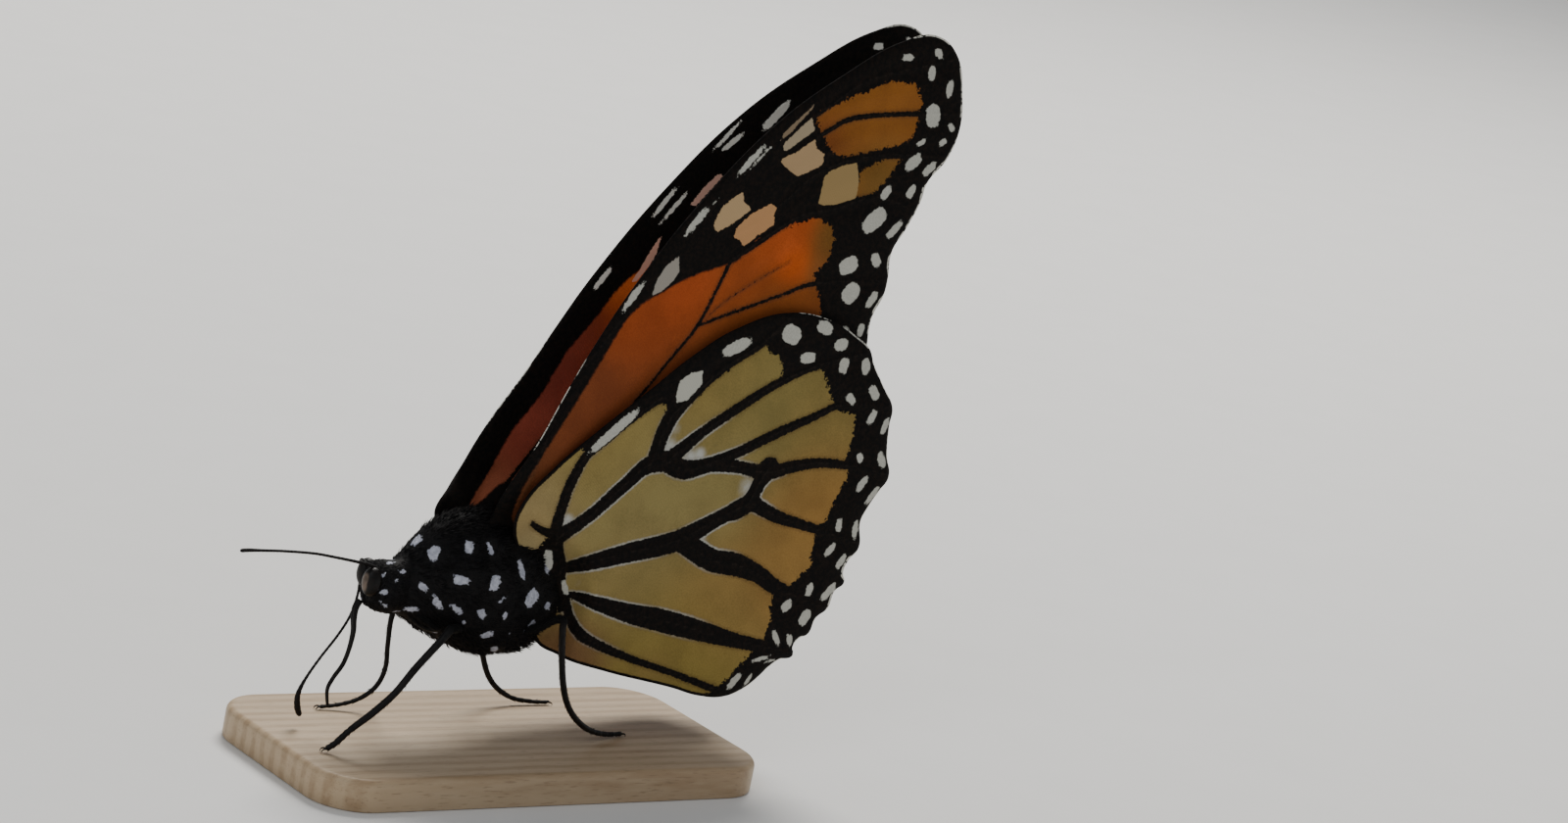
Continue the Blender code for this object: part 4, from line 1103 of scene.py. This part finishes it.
def makeLeg(node, leg, look, sign=1.0):
    knots = [(x, y * sign, z, radius) for x, y, z, radius in leg["knots"]]
    line = smoothPath(knots, 12)
    reach = reachAlong(line)
    kneeAt, footFrom = reach[leg["knee"] * 12], reach[leg["foot"] * 12]

    def swell(at, whole):
        size = 1.0 + 0.10 * np.exp(-((at - kneeAt) / 0.35) ** 2)
        if at > footFrom:  # five short joints of the foot, each widening to its end
            beat = (at - footFrom) / max(whole - footFrom, 1e-6) * 5.0 % 1.0
            size *= 0.84 + 0.24 * beat - 0.22 * max(0.0, beat - 0.86) / 0.14
        return size
    mesh = settle(meshOf(tubeAlong(knots, 16, 0.07, swell), node + "_limb"), look, "leg", node)
    nearest = [np.argmin(np.linalg.norm(line[:, :3] - spot, axis=1)) for spot in pointsOf(mesh)]
    setMark(mesh, "thigh", 1.0 - ramp(reach[nearest], kneeAt - 0.2, kneeAt + 0.9))
    bed = rootsOn(mesh, lambda places: hair["perArea"])
    roots = bed[0]
    nearest = np.argmin(np.linalg.norm(roots[:, None] - line[None, ::4, :3], axis=2), axis=1) * 4
    upper = reach[nearest] < kneeAt
    spine = (dice.uniform(0, 1, len(roots)) < hair["spineShare"]) & ~upper
    length, lift = (np.where(spine, hair[key][0], np.where(upper, hair[key][1], hair[key][2]))
                    for key in ("length", "lift"))
    length *= dice.uniform(0.7, 1.2, len(roots))
    radius = np.where(spine, hair["spineRadius"], hair["radius"])
    ahead = lineFrames(line[:, :3])[0][nearest]
    growTufts(node + "_hairs", coatFinish, "leg", bed, ahead, length, radius, np.radians(lift),
              np.zeros(len(roots)))
    if leg["claws"]:
        makeClaws(node, Vector(line[-1, :3]), Vector(line[-1, :3] - line[-8, :3]), look)


def makeClaws(node, tip, ahead, look):  # two claws that curve down to the base
    ahead.z = 0.0
    ahead.normalize()
    beside = Vector((-ahead.y, ahead.x, 0.0))
    ground = 2.53  # just above the base's top
    shape = [(-0.10, 0.05, 0.02, .075), (0.14, 0.16, 0.05, .065), (0.32, 0.20, -0.04, .045),
             (0.38, 0.18, ground - tip.z, .02)]  # ahead, aside, up and radius
    claws = []
    for way in (-1, 1):
        knots = [(*(tip + ahead * run + beside * way * out + Vector((0, 0, up))), radius)
                 for run, out, up, radius in shape]
        claws.append(tubeAlong(knots, 8, 0.04))
    settle(meshOf(joined(claws), node + "_claws"), look, "leg")


limbFinish = limbLook()
for legName in ("midleg_left", "midleg_right", "hindleg_left", "hindleg_right"):
    makeLeg(legName, legs[legName], limbFinish)
makeLeg("foreleg_left", legs["foreleg"], limbFinish)
makeLeg("foreleg_right", legs["foreleg"], limbFinish, -1.0)
print("legs made")

feelers = {
    "antenna_left": [(-13.6, -0.6, 15.6, 0.14), (-14.7, -0.74, 16.05, 0.135), (-16.3, -1.1, 16.46, 0.12),
        (-18.35, -1.55, 16.92, 0.11), (-20.55, -2.15, 17.4, 0.105), (-23.75, -3.3, 17.95, 0.105),
        (-26.4, -4.2, 18.3, 0.115), (-27.7, -4.6, 18.45, 0.145), (-28.5, -4.85, 18.5, 0.145)],
    "antenna_right": [(-13.9, 0.7, 15.5, 0.13), (-13.95, 1.25, 15.75, 0.115), (-13.7, 2.0, 15.5, 0.11),
        (-13.1, 2.7, 14.3, 0.105), (-12.8, 2.9, 12.7, 0.105), (-13.2, 2.75, 11.0, 0.105),
        (-14.2, 2.45, 9.5, 0.105), (-15.6, 2.1, 7.9, 0.105), (-16.7, 1.9, 6.3, 0.12), (-17.1, 1.9, 5.1, 0.2),
        (-16.95, 1.9, 4.1, 0.25), (-16.6, 1.9, 3.4, 0.19)],
    "proboscis": [(-14.2, 0.4, 13.0, 0.19), (-14.55, 0.3, 12.4, 0.19), (-14.6, 0.2, 11.6, 0.175),
        (-14.5, 0.1, 10.6, 0.15), (-14.65, 0, 9.3, 0.125), (-14.95, 0, 8.1, 0.12), (-15.6, 0, 7.0, 0.115),
        (-15.9, 0, 6.1, 0.105), (-15.6, 0, 4.75, 0.085)],
    "palp": [(-13.6, -0.28, 12.7, 0.18), (-13.95, -0.31, 13.0, 0.21), (-14.17, -0.31, 13.9, 0.2),
        (-14.18, -0.3, 14.9, 0.17), (-14.05, -0.28, 15.4, 0.09)],
    "ring": 0.42,
    "crease": 0.16,
}


def makeFeelers():
    look = Look("feeler_rings")
    fine = look.speckle(look.place(), 16.0)
    look.wear(Base_Color=look.mix(fine, (0.004, 0.0036, 0.0036), (0.012, 0.0095, 0.0085)),
              Roughness=0.45 + (fine - 0.5) * 0.2, Normal=look.bump(fine, 0.02, 0.7), Specular_IOR_Level=0.12)

    def ringed(at, whole):
        return 1.0 - 0.16 * max(0.0, 1.0 - abs(at / feelers["ring"] % 1.0 - 0.5) * 6.0)

    def creased(at, whole):
        return 1.0 - 0.07 * max(0.0, 1.0 - abs(at / feelers["crease"] % 1.0 - 0.5) * 5.0)
    for node in ("antenna_left", "antenna_right"):
        tube = tubeAlong(feelers[node], 14, 0.05, ringed)
        settle(meshOf(tube, node + "_rings"), look.material, "feeler", node)
    halves = []
    for way in (-1, 1):
        knots = [(x, y + way * radius * 0.72, z, radius) for x, y, z, radius in feelers["proboscis"]]
        halves.append(tubeAlong(knots, 12, 0.05, creased))
    settle(meshOf(joined(halves), "tongue_halves"), look.material, "feeler", "proboscis")


def makePalps():
    for side, sign in (("left", 1.0), ("right", -1.0)):
        node = "palp_" + side
        knots = [(*turnHead(x, y * sign, z), radius) for x, y, z, radius in feelers["palp"]]
        mesh = settle(meshOf(tubeAlong(knots, 20, 0.08), node + "_scaled"), bodyFinish, "body_black", node)
        spots = [(*turnHead(-14.1, -0.2 * sign, 12.75), *turnHead(-14.3, -0.2 * sign, 13.1), 0.15)]
        setMark(mesh, "spot", spotField(pointsOf(mesh), spots))
        bed = rootsOn(mesh, lambda places: 60.0)
        count = len(bed[0])
        white = spotField(bed[0], spots) < 0
        lie = np.tile((-0.25, 0.0, 1.0), (count, 1)) + dice.normal(0, 0.12, (count, 3))
        length = np.where(white, 0.18, 0.26) * dice.uniform(0.7, 1.2, count)
        growTufts(node + "_coat", coatFinish, "body_black", bed, lie, length, np.full(count, 0.035),
                  np.radians(dice.uniform(8, 24, count)), white)


makeFeelers()
makePalps()
print("feelers, tongue and palps made")

plinth = {"corner": 4.0, "edge": 0.5, "foot": 0.2, "border": 0.3}


def makeBase():
    low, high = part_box("stand_base")
    work = bmesh.new()
    bmesh.ops.create_cube(work, size=1.0)
    for vert in work.verts:
        vert.co = Vector([low[i] + (high[i] - low[i]) * (vert.co[i] + 0.5) for i in range(3)])

    def soften(edges, width, segments):
        bmesh.ops.bevel(work, geom=edges, offset=width * mm, segments=segments, profile=0.5,
                        affect="EDGES", material=-1)
    tall = high.z - low.z
    soften([edge for edge in work.edges if abs(edge.verts[0].co.z - edge.verts[1].co.z) > tall / 2],
           plinth["corner"], 14)
    soften([edge for edge in work.edges if all(vert.co.z > high.z - 1e-6 for vert in edge.verts)],
           plinth["edge"], 5)
    soften([edge for edge in work.edges if all(vert.co.z < low.z + 1e-6 for vert in edge.verts)],
           plinth["foot"], 2)
    for face in [face for face in work.faces if len(face.verts) > 20]:  # the top and the underside
        bmesh.ops.inset_region(work, faces=[face], thickness=plinth["border"] * mm, depth=0.0)
    look = Look("maple")
    place = look.place(0.12, 1.0, 1.0)
    grain = look.speckle(place, 1.4, 4.0, 0.6)
    pores = look.speckle(look.place(0.35, 4.0, 4.0), 2.2)
    rings = look.node("TexWave", {"wave_type": "BANDS", "bands_direction": "Y"},
                      {"Vector": place, "Scale": 0.22, "Distortion": 5.0, "Detail": 3.0,
                       "Detail Scale": 0.6}, 1)
    pits = look.ease(pores, 0.58, 0.70)
    tone = look.mix(look.ease(rings, 0.2, 0.9), (0.50, 0.365, 0.225), (0.39, 0.265, 0.15))
    tone = look.mix(look.ease(grain, 0.35, 0.7) * 0.5, tone, (0.56, 0.43, 0.28))
    tone = look.mix(pits * 0.45, tone, (0.24, 0.15, 0.08))
    look.wear(Base_Color=tone, Roughness=0.42 + grain * 0.16, Coat_Weight=0.15, Coat_Roughness=0.35,
              Normal=look.bump(grain * 0.5 - pits * 0.8, 0.02, 0.6), Specular_IOR_Level=0.4)
    mesh = settle(meshOf(work, "stand_base_wood"), look.material, "base_wood", "stand_base")
    mesh.set_sharp_from_angle(angle=radians(40))


makeBase()
print("base made")

studio = {  # in metres and watts: where each lamp stands, its size, power and colour
    "floor": 4.0, "aim": (0.004, 0.0, 0.028), "room": (0.86, 0.89, 0.93, 1.0), "roomLight": 0.36,
    "lamps": {"key": ((0.30, 0.34, 0.62), 0.35, 6.0, (1.0, 0.97, 0.92)),
              "front": ((-0.46, -0.30, 0.42), 0.40, 0.8, (0.94, 0.97, 1.0))},
}


def makeStudio():
    work = bmesh.new()
    bmesh.ops.create_grid(work, x_segments=8, y_segments=8, size=studio["floor"] / 2)
    mesh = meshOf(work, "floor")
    look = Look("floor_paper")
    grain = look.speckle(look.place(0.02, 0.02, 0.02), 6.0, 3.0)
    tone = look.mix(grain, (0.80, 0.795, 0.78), (0.84, 0.835, 0.82))
    mesh.materials.append(look.wear(Base_Color=tone, Roughness=0.75 + grain * 0.1, Specular_IOR_Level=0.2))
    floor = bpy.data.objects.new("floor", mesh)
    scene.collection.objects.link(floor)
    for name, (place, size, power, tone) in studio["lamps"].items():
        data = bpy.data.lights.new(name, "AREA")
        data.shape = "DISK"
        data.size = size
        data.energy = power
        data.color = tone
        lamp = bpy.data.objects.new(name, data)
        lamp.location = place
        lamp.rotation_euler = (Vector(studio["aim"]) - Vector(place)).to_track_quat("-Z", "Y").to_euler()
        scene.collection.objects.link(lamp)
    scene.world = bpy.data.worlds.new("room")
    scene.world.use_nodes = True
    background = scene.world.node_tree.nodes["Background"]
    background.inputs["Color"].default_value = studio["room"]
    background.inputs["Strength"].default_value = studio["roomLight"]


# The butterfly was set level from a leaning stance, so the camera leans with it about Y.
view = {"lens": 100.0, "sensor": 36.0, "place": (-158.594, -256.385, 144.021), "tilt": 69.0, "heading": -36.0,
        "lean": -14.0}


def makeCamera():
    data = bpy.data.cameras.new("camera")
    data.lens = view["lens"]
    data.sensor_width = view["sensor"]
    data.sensor_fit = "HORIZONTAL"
    data.clip_start, data.clip_end = 0.01, 20.0
    camera = bpy.data.objects.new("camera", data)
    upright = Euler((radians(view["tilt"]), 0.0, radians(view["heading"]))).to_matrix().to_4x4()
    stand = Matrix.Translation(Vector(view["place"]) * mm) @ upright
    camera.matrix_world = Matrix.Rotation(radians(view["lean"]), 4, "Y") @ stand
    scene.collection.objects.link(camera)
    scene.camera = camera


makeStudio()
makeCamera()


def corners(box):
    return [list(box[0]), list(box[1])]
